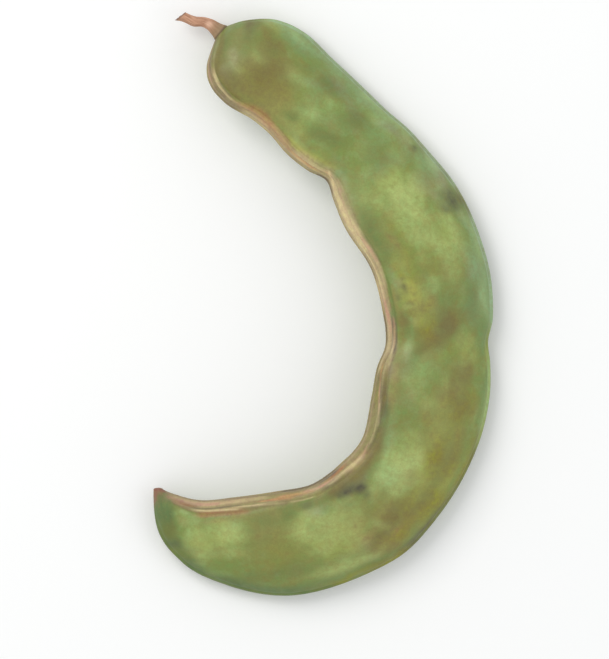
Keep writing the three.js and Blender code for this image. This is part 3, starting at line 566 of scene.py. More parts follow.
STREAKS: dict[Margin, dict[Tone, tuple[Streak, ...]]] = {
    Margin.SEAM: {
        Tone.GOLD: make_streaks(
            (66, 5.6, 76, 6.1, 1.8, 0.8), (75, 7, 90, 7.4, 2, 0.4),
        ),
        # Painted shade: darker green along the seam band's inner edge, beyond its rib.
        Tone.DARK: make_streaks(
            (88, 6, 101, 6.4, 1.7, 0.4), (98, 4.1, 106, 4.3, 1.4, 0.25), (112, 5.2, 120, 5.2, 1.1, 0.2),
            (137, 6.5, 150, 6.3, 1, 0.5), (161, 5.8, 182, 6, 1, 0.6), (232, 7.6, 250, 7.8, 1.4, 0.95),
            (300, 8.8, 335, 8.8, 2.2, 0.6),
        ),
        Tone.BROWN: make_streaks(
            (8, 7, 30, 6.5, 1.8, 0.7), (214, 5.5, 233, 7, 1.2, 0.5), (246, 7.6, 272, 9.5, 2, 0.8),
            (272, 9.6, 300, 8.8, 2.4, 0.8),
        ),
        Tone.MOSS: make_streaks(
            (0, 1.5, 5, 2.2, 3, 0.8), (22, 1.8, 32, 1.8, 1, 0.4), (53, 4.4, 64, 4.8, 1.2, 0.6),
            (53, 4.8, 66, 5, 1.1, 0.4), (54, 1.8, 66, 2, 1, 0.4), (85, 1.7, 93, 1.9, 1.2, 0.7),
            (90, 6.6, 100, 5.6, 1.4, 0.3), (97, 4.4, 128, 4.4, 1.3, 0.35), (98, 3, 108, 3.2, 1, 0.4),
            (101, 5.4, 126, 5.5, 1.3, 0.4), (101, 8.3, 142, 7.4, 1.2, 0.3), (104, 5, 116, 5, 1.2, 0.35),
            (107, 1.9, 117, 1.9, 0.9, 0.35), (134, 5, 156, 5, 1.1, 0.35), (136, 4.8, 151, 5, 1, 0.45),
            (203, 6.4, 214, 5.8, 1.4, 0.6), (204, 4.8, 212, 6, 1.2, 0.5), (207, 5, 232, 6.3, 1.6, 0.6),
            (213, 0.8, 242, 0.8, 1.4, 0.7), (214, 2.2, 242, 3.2, 1.8, 0.65), (219, 2.2, 230, 2.2, 1, 0.4),
            (220, 4.7, 258, 4.3, 1.6, 0.45), (221, 3.2, 250, 3.8, 1.4, 0.5), (236, 5.6, 262, 6.6, 2, 0.95),
            (240, 2.1, 262, 2.8, 2, 0.7), (248, 6.4, 262, 6.3, 1.1, 0.5), (260, 5.8, 277, 6, 1.1, 0.5),
            (262, 8.2, 286, 8, 1.6, 0.6), (286, 6.4, 306, 5.8, 1.8, 0.7), (290, 2.8, 302, 3, 1, 0.5),
            (290, 4.8, 318, 4.7, 1, 0.5), (300, 4.7, 335, 4.7, 1, 0.6), (309, 1.8, 322, 1.8, 0.9, 0.4),
            (313, 2.2, 326, 2, 1, 0.4), (327, 1.8, 352, 1.8, 0.9, 0.35), (329, 6.7, 365, 6.4, 2, 0.85),
            (330, 1, 346, 1, 1.2, 0.7), (338, 2.2, 352, 2.4, 1.6, 0.4), (353, 4.4, 390, 4.2, 1.2, 0.75),
        ),
        Tone.TAN: make_streaks(
            (29, 2.5, 41, 2.5, 2, 0.4), (41, 0.9, 90, 0.9, 1.3, 0.6), (41, 1.5, 53, 1.5, 1.6, 0.7),
            (62, 2, 78, 2, 2.5, 0.45), (77, 4, 92, 4.5, 3.2, 0.75), (98.5, 2, 104, 2.6, 2, 0.7),
            (101, 0.9, 165, 0.9, 1.3, 0.7), (104, 3.8, 140, 3.5, 3.6, 0.9), (138, 2.5, 163, 2.2, 2.2, 0.7),
            (150, 4.3, 160, 4.3, 0.9, 0.6), (163, 1.8, 200, 2, 1.8, 0.7), (183, 1.2, 209, 1.2, 1.3, 0.8),
            (199, 4.6, 210, 5.5, 2, 0.5), (240, 1, 275, 1.3, 1.4, 0.3), (269, 5.6, 284, 6.2, 1.8, 0.5),
            (293, 3.8, 320, 3.2, 1.6, 0.55), (337, 5.2, 392, 3, 3, 0.1), (349, 1.8, 363, 1.8, 1.3, 0.7),
            (362, 2.5, 386, 2.4, 1.6, 0.6),
        ),
        Tone.ORANGE: make_streaks(
            (38, 4, 52, 3.5, 2.4, 0.45), (52, 2.6, 63, 2.7, 2, 0.6), (54, 3.8, 65, 4, 1.6, 0.25),
            (63, 2.5, 70, 2.6, 1, 0.6), (72, 2.8, 78, 2.8, 1, 0.8), (78, 2.6, 83, 2.7, 1.3, 0.8),
            (94, 3.5, 99, 2.3, 0.5, 0.6), (212, 2.6, 222, 3.4, 0.6, 0.7), (263, 5.4, 271, 5.5, 2.3, 0.4),
            (314, 3, 333, 3.2, 1.5, 0.4), (325, 2.8, 335, 3, 0.6, 0.7), (331, 4.1, 339, 4, 1.2, 0.8),
            (340, 3.8, 347, 3.8, 0.7, 0.8),
        ),
        Tone.RUST: make_streaks(
            (42, 5.9, 48, 5.6, 1.4, 0.5), (156, 9.6, 170, 6.4, 1.3, 0.2), (178, 7, 200, 9.2, 1.4, 0.18),
            (270, 6.8, 281, 7.4, 1.1, 0.2), (284, 2, 293, 1.8, 1.3, 0.9), (290, 2.4, 303, 2.6, 0.9, 0.35),
            (314, 8.6, 328, 9.8, 1.2, 0.18), (352, 10.2, 378, 11.2, 1.3, 0.2),
            (360, 8, 381, 7.5, 1.5, 0.6), (364, 5.8, 378, 6, 0.9, 0.4), (391, 3.3, 398, 3.3, 1.2, 0.9),
            (397, 2.5, 403, 2.5, 0.9, 0.8),
        ),
        Tone.PINK: make_streaks(
            (1, 4, 5, 4.2, 1.2, 0.3), (7, 1.3, 15, 1.3, 1.2, 0.6), (50, 1.8, 53, 1.7, 1.5, 0.4),
            (103, 4.6, 126, 3.6, 1.1, 0.4), (120, 3.3, 128, 3.1, 1.1, 0.6), (128, 5, 140, 4.6, 1, 0.3),
            (131, 3.8, 139, 3.8, 1.2, 0.6), (142, 4.5, 147, 4.4, 1, 0.5), (163, 1, 168, 1, 0.6, 0.8),
            (171, 1.8, 178, 1.8, 0.9, 0.9), (178, 2.5, 188, 2.3, 1.4, 0.8), (182, 4.8, 197, 4.3, 0.5, 0.5),
            (222, 3.4, 232, 5, 0.6, 0.8), (257, 4.1, 265, 5.9, 0.6, 0.4), (294, 3.4, 306, 3.2, 0.8, 0.7),
            (301, 3.2, 316, 2.3, 0.8, 0.6), (366, 2, 376, 2, 1, 0.3), (378, 2, 401, 2, 1.1, 0.8),
            (384, 2, 393, 2.1, 1, 0.3), (398, 3.4, 409, 3, 1.2, 0.4),
        ),
        # Pale cream lines: partly the ribs' own colour, partly painted highlight along the ridges.
        Tone.CREAM: make_streaks(
            (60, 2, 76, 2, 1.6, 0.3), (5, 5.3, 15, 4.5, 0.7, 0.5), (15, 4.5, 27, 3.3, 0.7, 0.45),
            (42, 0.8, 53, 0.8, 0.8, 0.4), (43, 1.9, 52, 1.9, 1, 0.3), (78, 1.8, 90, 1.9, 1.1, 0.35),
            (82, 1.1, 91, 1.2, 0.9, 0.4), (90, 5.7, 96, 3, 0.7, 0.8), (96, 3, 104, 1.4, 0.7, 0.9),
            (101, 2, 113, 2.2, 1.5, 0.6), (113, 2.7, 138, 3, 2, 0.85), (118, 1.2, 140, 1.3, 1.2, 0.5),
            (118, 5, 130, 5, 1.4, 0.5), (127, 1.6, 138, 1.6, 1.2, 0.45), (138, 1.8, 166, 1.8, 0.6, 0.8),
            (160, 0.8, 173, 0.9, 0.9, 0.3), (189, 1.7, 199, 1.7, 1.1, 0.4), (197, 3.4, 207, 5.7, 0.7, 0.7),
            (199, 1, 208, 1.2, 1, 0.5), (231, 4.9, 239.5, 5.9, 0.6, 0.6), (240, 4.6, 251, 4.8, 0.6, 0.3),
            (268, 5.3, 284, 4.9, 1.3, 0.7), (277, 4, 290, 4.1, 1.2, 0.3), (278, 4.5, 292, 3.8, 1.2, 0.5),
            (283, 5.1, 298, 4.2, 0.8, 0.8), (316, 6.2, 328, 6.2, 0.4, 0.6), (336, 6.2, 351, 5.3, 0.5, 0.5),
            (350, 5.2, 363, 4.9, 0.5, 0.6), (365, 6.1, 384, 5.2, 0.5, 0.8), (376, 1, 398, 1, 0.9, 0.4),
        ),
        # Dark brown lines in the band; the two at 0.3 along the whole pod are painted shade where the edge
        # turns under.
        Tone.BARK: make_streaks(
            (0, 0.3, 412, 0.3, 1.4, 0.12), (0, 1.6, 9, 2.4, 1.5, 0.4), (1, 2, 8, 2.2, 1, 0.35),
            (8, 3.3, 22, 2.9, 0.5, 0.35), (8, 6.1, 26, 4.6, 0.5, 0.5), (18, 1.7, 29, 1.7, 1.2, 0.3),
            (20, 0.2, 32, 0.3, 0.6, 0.5), (23, 1.9, 33, 1.9, 1.1, 0.35), (56, 2, 67, 2.4, 1.2, 0.35),
            (70, 0.6, 95, 0.6, 1, 0.15), (92, 0.4, 103, 0.4, 0.8, 0.8), (112, 6.3, 126, 6.6, 1.3, 0.3),
            (136, 5.9, 148, 5.9, 0.9, 0.3), (146, 0.4, 156, 0.4, 0.5, 0.6), (180, 0.4, 197, 0.4, 0.4, 0.7),
            (180, 5.7, 200, 5.3, 0.5, 0.7), (181, 4, 197, 3.4, 0.5, 0.7), (203, 5.8, 213, 6.9, 1.3, 0.5),
            (205, 0.3, 412, 0.3, 1.4, 0.3), (216, 2.6, 230, 6.4, 1.5, 0.4), (217, 1.8, 230, 1.9, 1, 0.4),
            (221, 5.7, 231, 6.6, 1.5, 0.5), (222, 6.6, 245, 7.2, 1.6, 0.35), (229, 7, 246, 7.4, 1, 0.6),
            (229, 7.6, 246, 7.8, 0.9, 0.35), (230, 8.2, 262, 8.8, 1.2, 0.3), (234, 6.9, 244, 7.2, 1, 0.5),
            (236, 5.6, 257, 5.4, 1, 0.25), (246, 6.8, 256, 6.2, 1, 0.4), (263, 6.2, 272, 6.2, 0.9, 0.35),
            (284, 6.2, 300, 5.6, 1.2, 0.4), (290, 0.6, 332, 0.5, 1, 0.9), (290, 1.4, 301, 1.2, 1.1, 0.9),
            (292, 3.6, 301, 4, 1.1, 0.35), (292, 5, 303, 4.6, 1, 0.25), (335, 6, 352, 6.2, 1.4, 0.25),
            (362, 3.8, 378, 4.4, 1.2, 0.2), (364, 4.4, 386, 4.2, 0.4, 0.6), (389, 3.2, 412, 2.6, 2.5, 0.4),
        ),
    },
    Margin.BACK: {
        # Painted reflected light along the back's edge.
        Tone.MINT: make_streaks(
            (205, 1, 244, 1, 1.8, 0.8),
        ),
        # Painted reflected light along the back's edge.
        Tone.PAINTED_RIM_LIGHT: make_streaks(
            (16, 1.2, 124, 1.2, 2.2, 0.9), (146, 1.2, 194, 1.2, 2.6, 0.9),
        ),
        # Painted shade: darker green along the back's edge towards the tip.
        Tone.LEAF: make_streaks(
            (300, 3, 400, 3, 4, 0.5),
        ),
        # Painted shade: dark green along the back's edge, deepest towards the tip.
        Tone.PAINTED_DEEP_SHADE: make_streaks(
            (252, 1, 300, 1, 2.4, 0.4), (300, 1.5, 330, 1.5, 2.6, 0.5), (326, 2, 362, 2.5, 4.5, 0.7),
            (360, 1.5, 385, 1.5, 3, 0.6), (384, 2.5, 408, 2.5, 7, 0.9),
        ),
        Tone.BROWN: make_streaks(
            (246, 1.5, 302, 1.5, 3.5, 0.5),
        ),
        # Painted shade: a dark outline along the back's edge.
        Tone.BARK: make_streaks(
            (36, 0.9, 120, 0.9, 0.8, 0.35), (120, 1.1, 140, 1.1, 0.9, 0.4), (138, 1.1, 147, 1, 0.9, 0.3),
            (158, 0.9, 172, 0.9, 0.8, 0.3),
        ),
    },
}


# The pod


@dataclass(frozen=True)
class Ridge:
    """A ridge or groove of a margin: its place and half width as shares of the margin, and height."""

    at: float
    width: float
    height: float


POD_STATIONS = (
    Station((-54, 132.5), (-48.5, 139), 8, 2),
    Station((-56, 127), (-42, 141.2), 15, 3.2),
    Station((-58, 120.5), (-34, 142.5), 20, 4.4),
    Station((-58.1, 114.3), (-26, 142.6), 23, 5),
    Station((-55.7, 107.8), (-18, 140.5), 24.5, 5.2),
    Station((-50.2, 101.3), (-10, 136.3), 25.5, 5.2),
    Station((-34, 91), (5, 122.5), 26, 5.2),
    Station((-27.2, 85.2), (11.9, 116.1), 26, 5.2),
    Station((-17.9, 74.6), (22.5, 106), 26, 5.2),
    Station((-8.1, 66.8), (31.9, 96.9), 25.5, 5.2),
    Station((1.3, 61.7), (42.9, 87.4), 25, 5),
    Station((5, 52), (53.7, 75.4), 25.5, 7),
    Station((9.9, 39.7), (64.2, 62.7), 26.5, 6.8),
    Station((24.2, 16.5), (78.7, 33.1), 26.5, 5.4),
    Station((30.5, -9), (84.9, 2.5), 25.5, 5.6),
    Station((31, -12.5), (85, -6.5), 25.2, 5.6),
    Station((30.8, -21.5), (82.6, -18.5), 25, 5.7),
    Station((27, -31), (83.6, -29.5), 25.5, 5.9),
    Station((24.3, -45), (83.5, -44.5), 26.5, 6.8),
    Station((19.4, -67), (75.7, -75.2), 26.5, 7),
    Station((14.6, -73.9), (66.7, -93), 26.2, 7.4),
    Station((9.6, -78.6), (55.5, -108.9), 26, 7.4),
    Station((3, -84.4), (41.1, -124.3), 26, 6.8),
    Station((-5.1, -89.6), (21.8, -135.1), 25.5, 6.4),
    Station((-23.5, -93.5), (-17, -146), 24.5, 6.8),
    Station((-43.5, -96.4), (-49, -140.5), 21.5, 8.2),
    Station((-62, -98), (-71, -129), 16.5, 7.4),
    Station((-74, -95.2), (-83.2, -112), 10.5, 4.8),
    Station((-78.8, -93.5), (-85, -97), 6, 2.2),
    Station((-80, -92.9), (-85, -92.9), 4.4, 1.6),
)

# Each margin's ridges start with the four that give it its form, and end with fine lines.
SEAM_RIDGES = (
    Ridge(0, 0.2, 0.35),
    Ridge(0.42, 0.16, -0.3),
    Ridge(0.76, 0.15, 0.75),
    Ridge(1.08, 0.14, -0.35),
    Ridge(0, 0.035, -0.2),
    Ridge(0.22, 0.05, 0.08),
    Ridge(0.58, 0.05, -0.1),
    Ridge(0.95, 0.05, 0.1),
)
BACK_RIDGES = (
    Ridge(0, 0.18, 0.3),
    Ridge(0.38, 0.17, -0.25),
    Ridge(0.72, 0.17, 0.7),
    Ridge(1.05, 0.14, -0.3),
    Ridge(0, 0.035, -0.2),
    Ridge(0.55, 0.05, -0.08),
)


@dataclass(frozen=True)
class Girth:
    """Sizes of a ring over the skin: the back's arc, and half the width of each margin."""

    total: float
    seam: float
    back: float


@dataclass(frozen=True)
class PodForm:
    """The pod's rings in place, and for each vertex where it lies on the skin.

    A vertex lies at a distance along the middle line and at an arc, the way over the skin from the
    seam: positive over the upper side, negative over the under side. Inward is its distance from the
    seam's edge as seen from above, total is the back's arc, and seam and back are half the margins'
    widths.
    """

    rings: np.ndarray
    ends: tuple[np.ndarray, np.ndarray]
    along: np.ndarray
    arc: np.ndarray
    inward: np.ndarray
    total: np.ndarray
    seam: np.ndarray
    back: np.ndarray

    @property
    def joint_height(self) -> float:
        """The height over the floor of the first ring's middle, where the stalk joins."""
        heights = self.rings[0, :, 2]
        return float(heights.min() + heights.max()) / 2

    def over_skin(self, margin: Margin) -> np.ndarray:
        """Measure the way over the skin from a margin's middle line to each vertex."""
        return self.arc if margin is Margin.SEAM else self.total - np.abs(self.arc)

    def under_eye(self, spot: Spot, margin: Margin) -> float:
        """Find how far over the skin a spot lies that is given as seen from above.

        Args:
            spot: A distance along the pod, and one inward from the margin's edge.
            margin: The margin.

        Returns:
            The way over the skin from the margin's middle line to the spot.
        """
        row = int(np.argmin(np.abs(self.along[:, 0] - spot[0])))
        order = np.argsort(self.arc[row])
        inward = self.inward[row, order]
        seen = slice(int(np.argmin(inward)), int(np.argmax(inward)) + 1)
        wanted = spot[1] if margin is Margin.SEAM else inward.max() - spot[1]
        over = self.over_skin(margin)[row, order][seen]
        return float(np.interp(wanted, np.maximum.accumulate(inward[seen]), over))


@dataclass(frozen=True)
class Pod:
    """The pod: a flattened oval that runs through its stations, with a ribbed margin along each edge.

    The oval's power is 2 for an ellipse and more for flatter sides. Its roll, in degrees, turns the
    seam up towards the eye. A lane sets one noise apart from others of its size.
    """

    name: str = "pod_skin"
    node: str = "pod"
    slot: str = "pod_skin"
    course: Course = field(default_factory=lambda: Course(POD_STATIONS))

    oval_power: float = 2.3
    roll_at_stalk: float = 24
    roll_at_beak: float = 28
    beak_end: float = 1

    back_margin: float = 6.5
    back_margin_share: float = 0.22
    full_ridge_half_width: float = 18
    ridge_wander: float = 0.045
    wander_length: float = 21
    ridge_swell: float = 0.3
    seam_lane: float = 1.3
    back_lane: float = 7.7
    ridge_lane: float = 0.37

    seed_pitch: float = 30.3
    first_foot_seed: float = 48
    foot_seed_steps: tuple[int, ...] = (0, 6, 10)
    seed_swell: float = 0.6
    swell_from_margin: float = 1.5

    rise_between_seeds: float = 0.6
    rise_between_feet: float = 2
    rise_at_stalk: float = 6
    rise_at_beak: float = 6.5
    foot_flat_depth: float = 0.35

    dent_depth: float = 0.25
    dent_size: float = 17
    ripple_depth: float = 0.08
    ripple_size: float = 4.5

    rows: int = 640
    beak_rows: int = 8
    seam_steps: int = 28
    back_steps: int = 14
    side_steps: int = 25
    margin_reach: float = 1.4
    oval_samples: int = 400

    under_blotches: int = 46
    under_inward: tuple[float, float] = (0.15, 0.9)
    under_reach_along: tuple[float, float] = (5, 14)
    under_reach_across: tuple[float, float] = (5, 12)
    under_strength: tuple[float, float] = (0.4, 0.85)
    under_tones: tuple[Tone, ...] = (Tone.PALE, Tone.PALE, Tone.OLIVE, Tone.BROWN, Tone.DARK, Tone.MINT)
    blotch_seed: int = 11
    blotch_wander: float = 2.5
    blotch_wander_size: float = 9
    arc_lane: float = 5.5
    streak_fade: float = 3
    fade_power: float = 1.35

    def oval(self, half_width: float, half_thick: float, turns: np.ndarray) -> tuple[np.ndarray, np.ndarray]:
        """Place points on the flattened oval.

        Args:
            half_width: Half the oval's width.
            half_thick: Half its thickness.
            turns: Angles from the seam (0) to the back (pi), negative over the under side.

        Returns:
            The points and their outward normals, each as rows of two numbers.
        """

        def power(value: np.ndarray, exponent: float) -> np.ndarray:
            """Raise the size of each value and keep its sign."""
            return np.sign(value) * np.abs(value) ** exponent

        reach = 2 / self.oval_power
        cosine, sine = np.cos(turns), np.sin(turns)
        points = np.column_stack([-half_width * power(cosine, reach), half_thick * power(sine, reach)])
        steep = [-power(cosine, 2 - reach) / half_width, power(sine, 2 - reach) / half_thick]
        normals = np.column_stack(steep)
        return points, normals / np.linalg.norm(normals, axis=1)[:, None]

    def ring_arcs(self, girth: Girth) -> np.ndarray:
        """Choose the arcs of one ring's vertices, close together on both margins.

        Args:
            girth: The ring's sizes over the skin.

        Returns:
            The arcs, over the upper side to the back and on over the under side.
        """
        start = self.margin_reach * girth.seam
        stop = girth.total - self.margin_reach * girth.back
        seam = np.linspace(0, start, self.seam_steps + 1)[1:]
        side = np.linspace(start, stop, self.side_steps + 2)[1:-1]
        back = np.linspace(stop, girth.total, self.back_steps + 1)[:-1]
        half = np.concatenate([seam, side, back])
        return np.concatenate([[0.0], half, [girth.total], -half[::-1]])

    def seed_wave(self, at: float) -> float:
        """Return the wave of the row of seeds along the pod: 1 over a seed and -1 between two."""
        return math.cos(math.tau * (at - self.first_foot_seed) / self.seed_pitch)

    def under_rise(self, at: float) -> float:
        """Work out how far the underside stands off the floor before its feet are pressed flat.

        Args:
            at: The distance along the pod.

        Returns:
            The rise.
        """
        feet = [self.first_foot_seed + step * self.seed_pitch for step in self.foot_seed_steps]
        rise = self.rise_between_seeds * (1 - self.seed_wave(at)) / 2
        for before, after in zip(feet, feet[1:]):
            share = min(max((at - before) / (after - before), 0.0), 1.0)
            rise += self.rise_between_feet * math.sin(math.pi * share) ** 2
        to_stalk = max(0.0, 1 - at / feet[0])
        to_beak = max(0.0, 1 - (self.course.length - at) / (self.course.length - feet[-1]))
        return rise + self.rise_at_stalk * to_stalk**2 + self.rise_at_beak * to_beak**2

    def ridges(self, at: float, ridges: Iterable[Ridge], places: np.ndarray, lane: float) -> np.ndarray:
        """Add up the ridges and grooves of one margin, which wander a little along the pod.

        Args:
            at: The distance along the pod.
            ridges: The margin's ridges.
            places: The distances from the margin's middle line, as shares of the margin.
            lane: A number that sets this margin's wander apart.

        Returns:
            The height over the oval at each place.
        """
        height = np.zeros_like(places)
        for order, ridge in enumerate(ridges):
            sway = noise.noise(Vector((at / self.wander_length, lane, order * self.ridge_lane)))
            away = (places - ridge.at - self.ridge_wander * sway) / ridge.width
            height += ridge.height * (1 + self.ridge_swell * sway) * np.exp(-(away**2))
        return height

    def relief(self, at: float, arcs: np.ndarray, girth: Girth) -> np.ndarray:
        """Add up both margins' ridges and the seeds' swellings.

        Args:
            at: The distance along the pod.
            arcs: The ring's arcs.
            girth: The ring's sizes over the skin.

        Returns:
            The height over the oval at each arc.
        """
        inward = np.abs(arcs)
        start = self.swell_from_margin * girth.seam
        stop = girth.total - self.swell_from_margin * girth.back
        sideways = 2 * (inward - start) / (stop - start) - 1
        swell = self.seed_swell * np.maximum(0, 1 - sideways**2) * self.seed_wave(at)
        seam = self.ridges(at, SEAM_RIDGES, inward / girth.seam, self.seam_lane)
        back = self.ridges(at, BACK_RIDGES, (girth.total - inward) / girth.back, self.back_lane)
        return swell + seam + back

    def ring(self, at: float) -> tuple[np.ndarray, np.ndarray, np.ndarray, Girth]:
        """Make one ring, as wide as its station and at its own height.

        Args:
            at: The distance along the pod.

        Returns:
            The ring's points, their arcs, their distances from the seam's edge as seen from above,
            and the ring's sizes over the skin.
        """
        section = self.course.section(at)
        share = min(max(at / self.course.length, 0.0), 1.0)
        ease = share * share * (3 - 2 * share)
        roll = math.radians(self.roll_at_stalk + (self.roll_at_beak - self.roll_at_stalk) * ease)
        widest = section.half_width / math.cos(roll)
        turns = np.linspace(0, math.pi, self.oval_samples + 1)
        outline, _ = self.oval(widest, section.half_thick, turns)
        lengths = np.concatenate([[0.0], np.cumsum(np.linalg.norm(np.diff(outline, axis=0), axis=1))])
        total = float(lengths[-1])
        girth = Girth(total, section.seam_margin, min(self.back_margin, self.back_margin_share * total))
        arcs = self.ring_arcs(girth)

        ring_turns = np.sign(arcs) * np.interp(np.abs(arcs), lengths, turns)
        points, normals = self.oval(widest, section.half_thick, ring_turns)
        on_skin = np.column_stack([np.full(len(arcs), at), points])
        height = self.relief(at, arcs, girth)
        height += self.dent_depth * rough(on_skin, self.dent_size)
        height += self.ripple_depth * rough(on_skin, self.ripple_size)
        height *= min(1.0, section.half_width / self.full_ridge_half_width)
        points = points + normals * height[:, None]
        x = points[:, 0] * math.cos(roll) + points[:, 1] * math.sin(roll)
        z = points[:, 1] * math.cos(roll) - points[:, 0] * math.sin(roll)
        inward = (x - x.min()) * 2 * section.half_width / (x.max() - x.min())
        plan = section.middle + (inward - section.half_width)[:, None] * section.across
        return np.column_stack([plan, z - z.min() + self.under_rise(at)]), arcs, inward, girth

    def form(self) -> PodForm:
        """Make all the rings, round the beak off and press the feet flat.

        Returns:
            The pod's form.
        """
        stations = np.linspace(0, self.course.length, self.rows)
        points, arcs, inwards, girths = (list(part) for part in zip(*(self.ring(at) for at in stations)))
        last = points[-1]
        tip = last.mean(axis=0)
        heading = (tip - points[-2].mean(axis=0)) * (1, 1, 0)
        heading /= np.linalg.norm(heading)
        for turn in np.linspace(0, math.pi / 2, self.beak_rows + 1)[1:-1]:
            points.append(tip + (last - tip) * math.cos(turn) + heading * self.beak_end * math.sin(turn))
        rings = np.array(points)
        ends = (points[0].mean(axis=0), tip + heading * self.beak_end)
        sunk = rings[..., 2].min() + self.foot_flat_depth
        for placed in (rings, *ends):
            placed[..., 2] = np.maximum(0, placed[..., 2] - sunk)

        beyond = len(points) - self.rows
        sides = rings.shape[1]

        def per_vertex(values: Iterable[float | np.ndarray]) -> np.ndarray:
            """Spread one value or one row of values for each ring over all rings and their sides."""
            rows = np.array(list(values)).reshape(self.rows, -1)
            return np.broadcast_to(np.pad(rows, ((0, beyond), (0, 0)), "edge"), (len(points), sides))

        names = ("total", "seam", "back")
        sizes = {name: per_vertex(getattr(girth, name) for girth in girths) for name in names}
        return PodForm(rings, ends, per_vertex(stations), per_vertex(arcs), per_vertex(inwards), **sizes)

    def tones(self, form: PodForm) -> dict[Tone, np.ndarray]:
        """Paint the blotches, and the streaks along both margins.

        Args:
            form: The pod's form.

        Returns:
            For each tone, its weight from 0 to 1 at each vertex.
        """
        along = form.along + self.blotch_wander * rough(form.rings, self.blotch_wander_size)
        arc = form.arc + self.blotch_wander * rough(form.rings, self.blotch_wander_size, self.arc_lane)
        bare = {tone: np.ones_like(along) for tone in Tone}

        def lay(tone: Tone, strength: float, away_along: np.ndarray, away_across: np.ndarray) -> None:
            """Lay a tone over the skin, fading with the distances in reaches."""
            bare[tone] *= 1 - strength * np.exp(-((away_along**2 + away_across**2) ** self.fade_power))

        for tone, blotches in BLOTCHES.items():
            for blotch in blotches:
                away_along = (along - blotch.spot[0]) / blotch.reach[0]
                away_across = (arc - form.under_eye(blotch.spot, Margin.SEAM)) / blotch.reach[1]
                lay(tone, blotch.strength, away_along, away_across)

        draw = random.Random(self.blotch_seed)
        for _ in range(self.under_blotches):
            spot = draw.uniform(0, self.course.length)
            away_along = (along - spot) / draw.uniform(*self.under_reach_along)
            inward = draw.uniform(*self.under_inward) * form.arc.max()
            away_across = (arc + inward) / draw.uniform(*self.under_reach_across)
            tone = draw.choice(self.under_tones)
            lay(tone, draw.uniform(*self.under_strength), away_along, away_across)

        for margin, its_tones in STREAKS.items():
            over = form.over_skin(margin)
            for tone, streaks in its_tones.items():
                for streak in streaks:
                    start, end = streak.start[0], streak.end[0]
                    ends = [form.under_eye(spot, margin) for spot in (streak.start, streak.end)]
                    past = np.maximum(0, np.maximum(start - form.along, form.along - end))
                    away_across = (over - np.interp(form.along, (start, end), ends)) / streak.reach
                    lay(tone, streak.strength, past / (self.streak_fade + streak.reach), away_across)
        return {tone: 1 - weights for tone, weights in bare.items()}

    def build(self, form: PodForm, finish: "PodRind") -> bpy.types.Object:
        """Build, paint and dress the pod.

        Args:
            form: The pod's form.
            finish: Its rind.

        Returns:
            The finished piece.
        """
        skin = RingSkin(self.name, form.rings, form.ends)
        inward = np.abs(form.arc)
        skin.paint("seam_at", inward / form.seam)
        skin.paint("back_at", (form.total - inward) / form.back)
        skin.paint("to_beak", self.course.length - form.along)
        skin.paint("lie", np.stack([form.along, inward, 0 * inward], axis=-1) * METRES_PER_MM)
        for tone, weights in self.tones(form).items():
            skin.paint(tone.value, weights)
        return skin.dress(finish.material(), self.node)


# The stalk


STALK_STATIONS = (
    Station((-74, 142.1), (-68.9, 146.1), 4.6),
    Station((-71.1, 141.7), (-67.9, 145.5), 4.4),
    Station((-68.9, 140.9), (-66.4, 144.7), 4.2),
    Station((-65, 139), (-63.1, 143.7), 4.4),
    Station((-60.9, 138.8), (-58.9, 143.3), 4.6),
    Station((-58, 137.2), (-55.1, 142.1), 5.2),
    Station((-55.5, 134.4), (-51.3, 140.2), 6.6),
    Station((-54.1, 132.5), (-48.6, 139.2), 8),
)


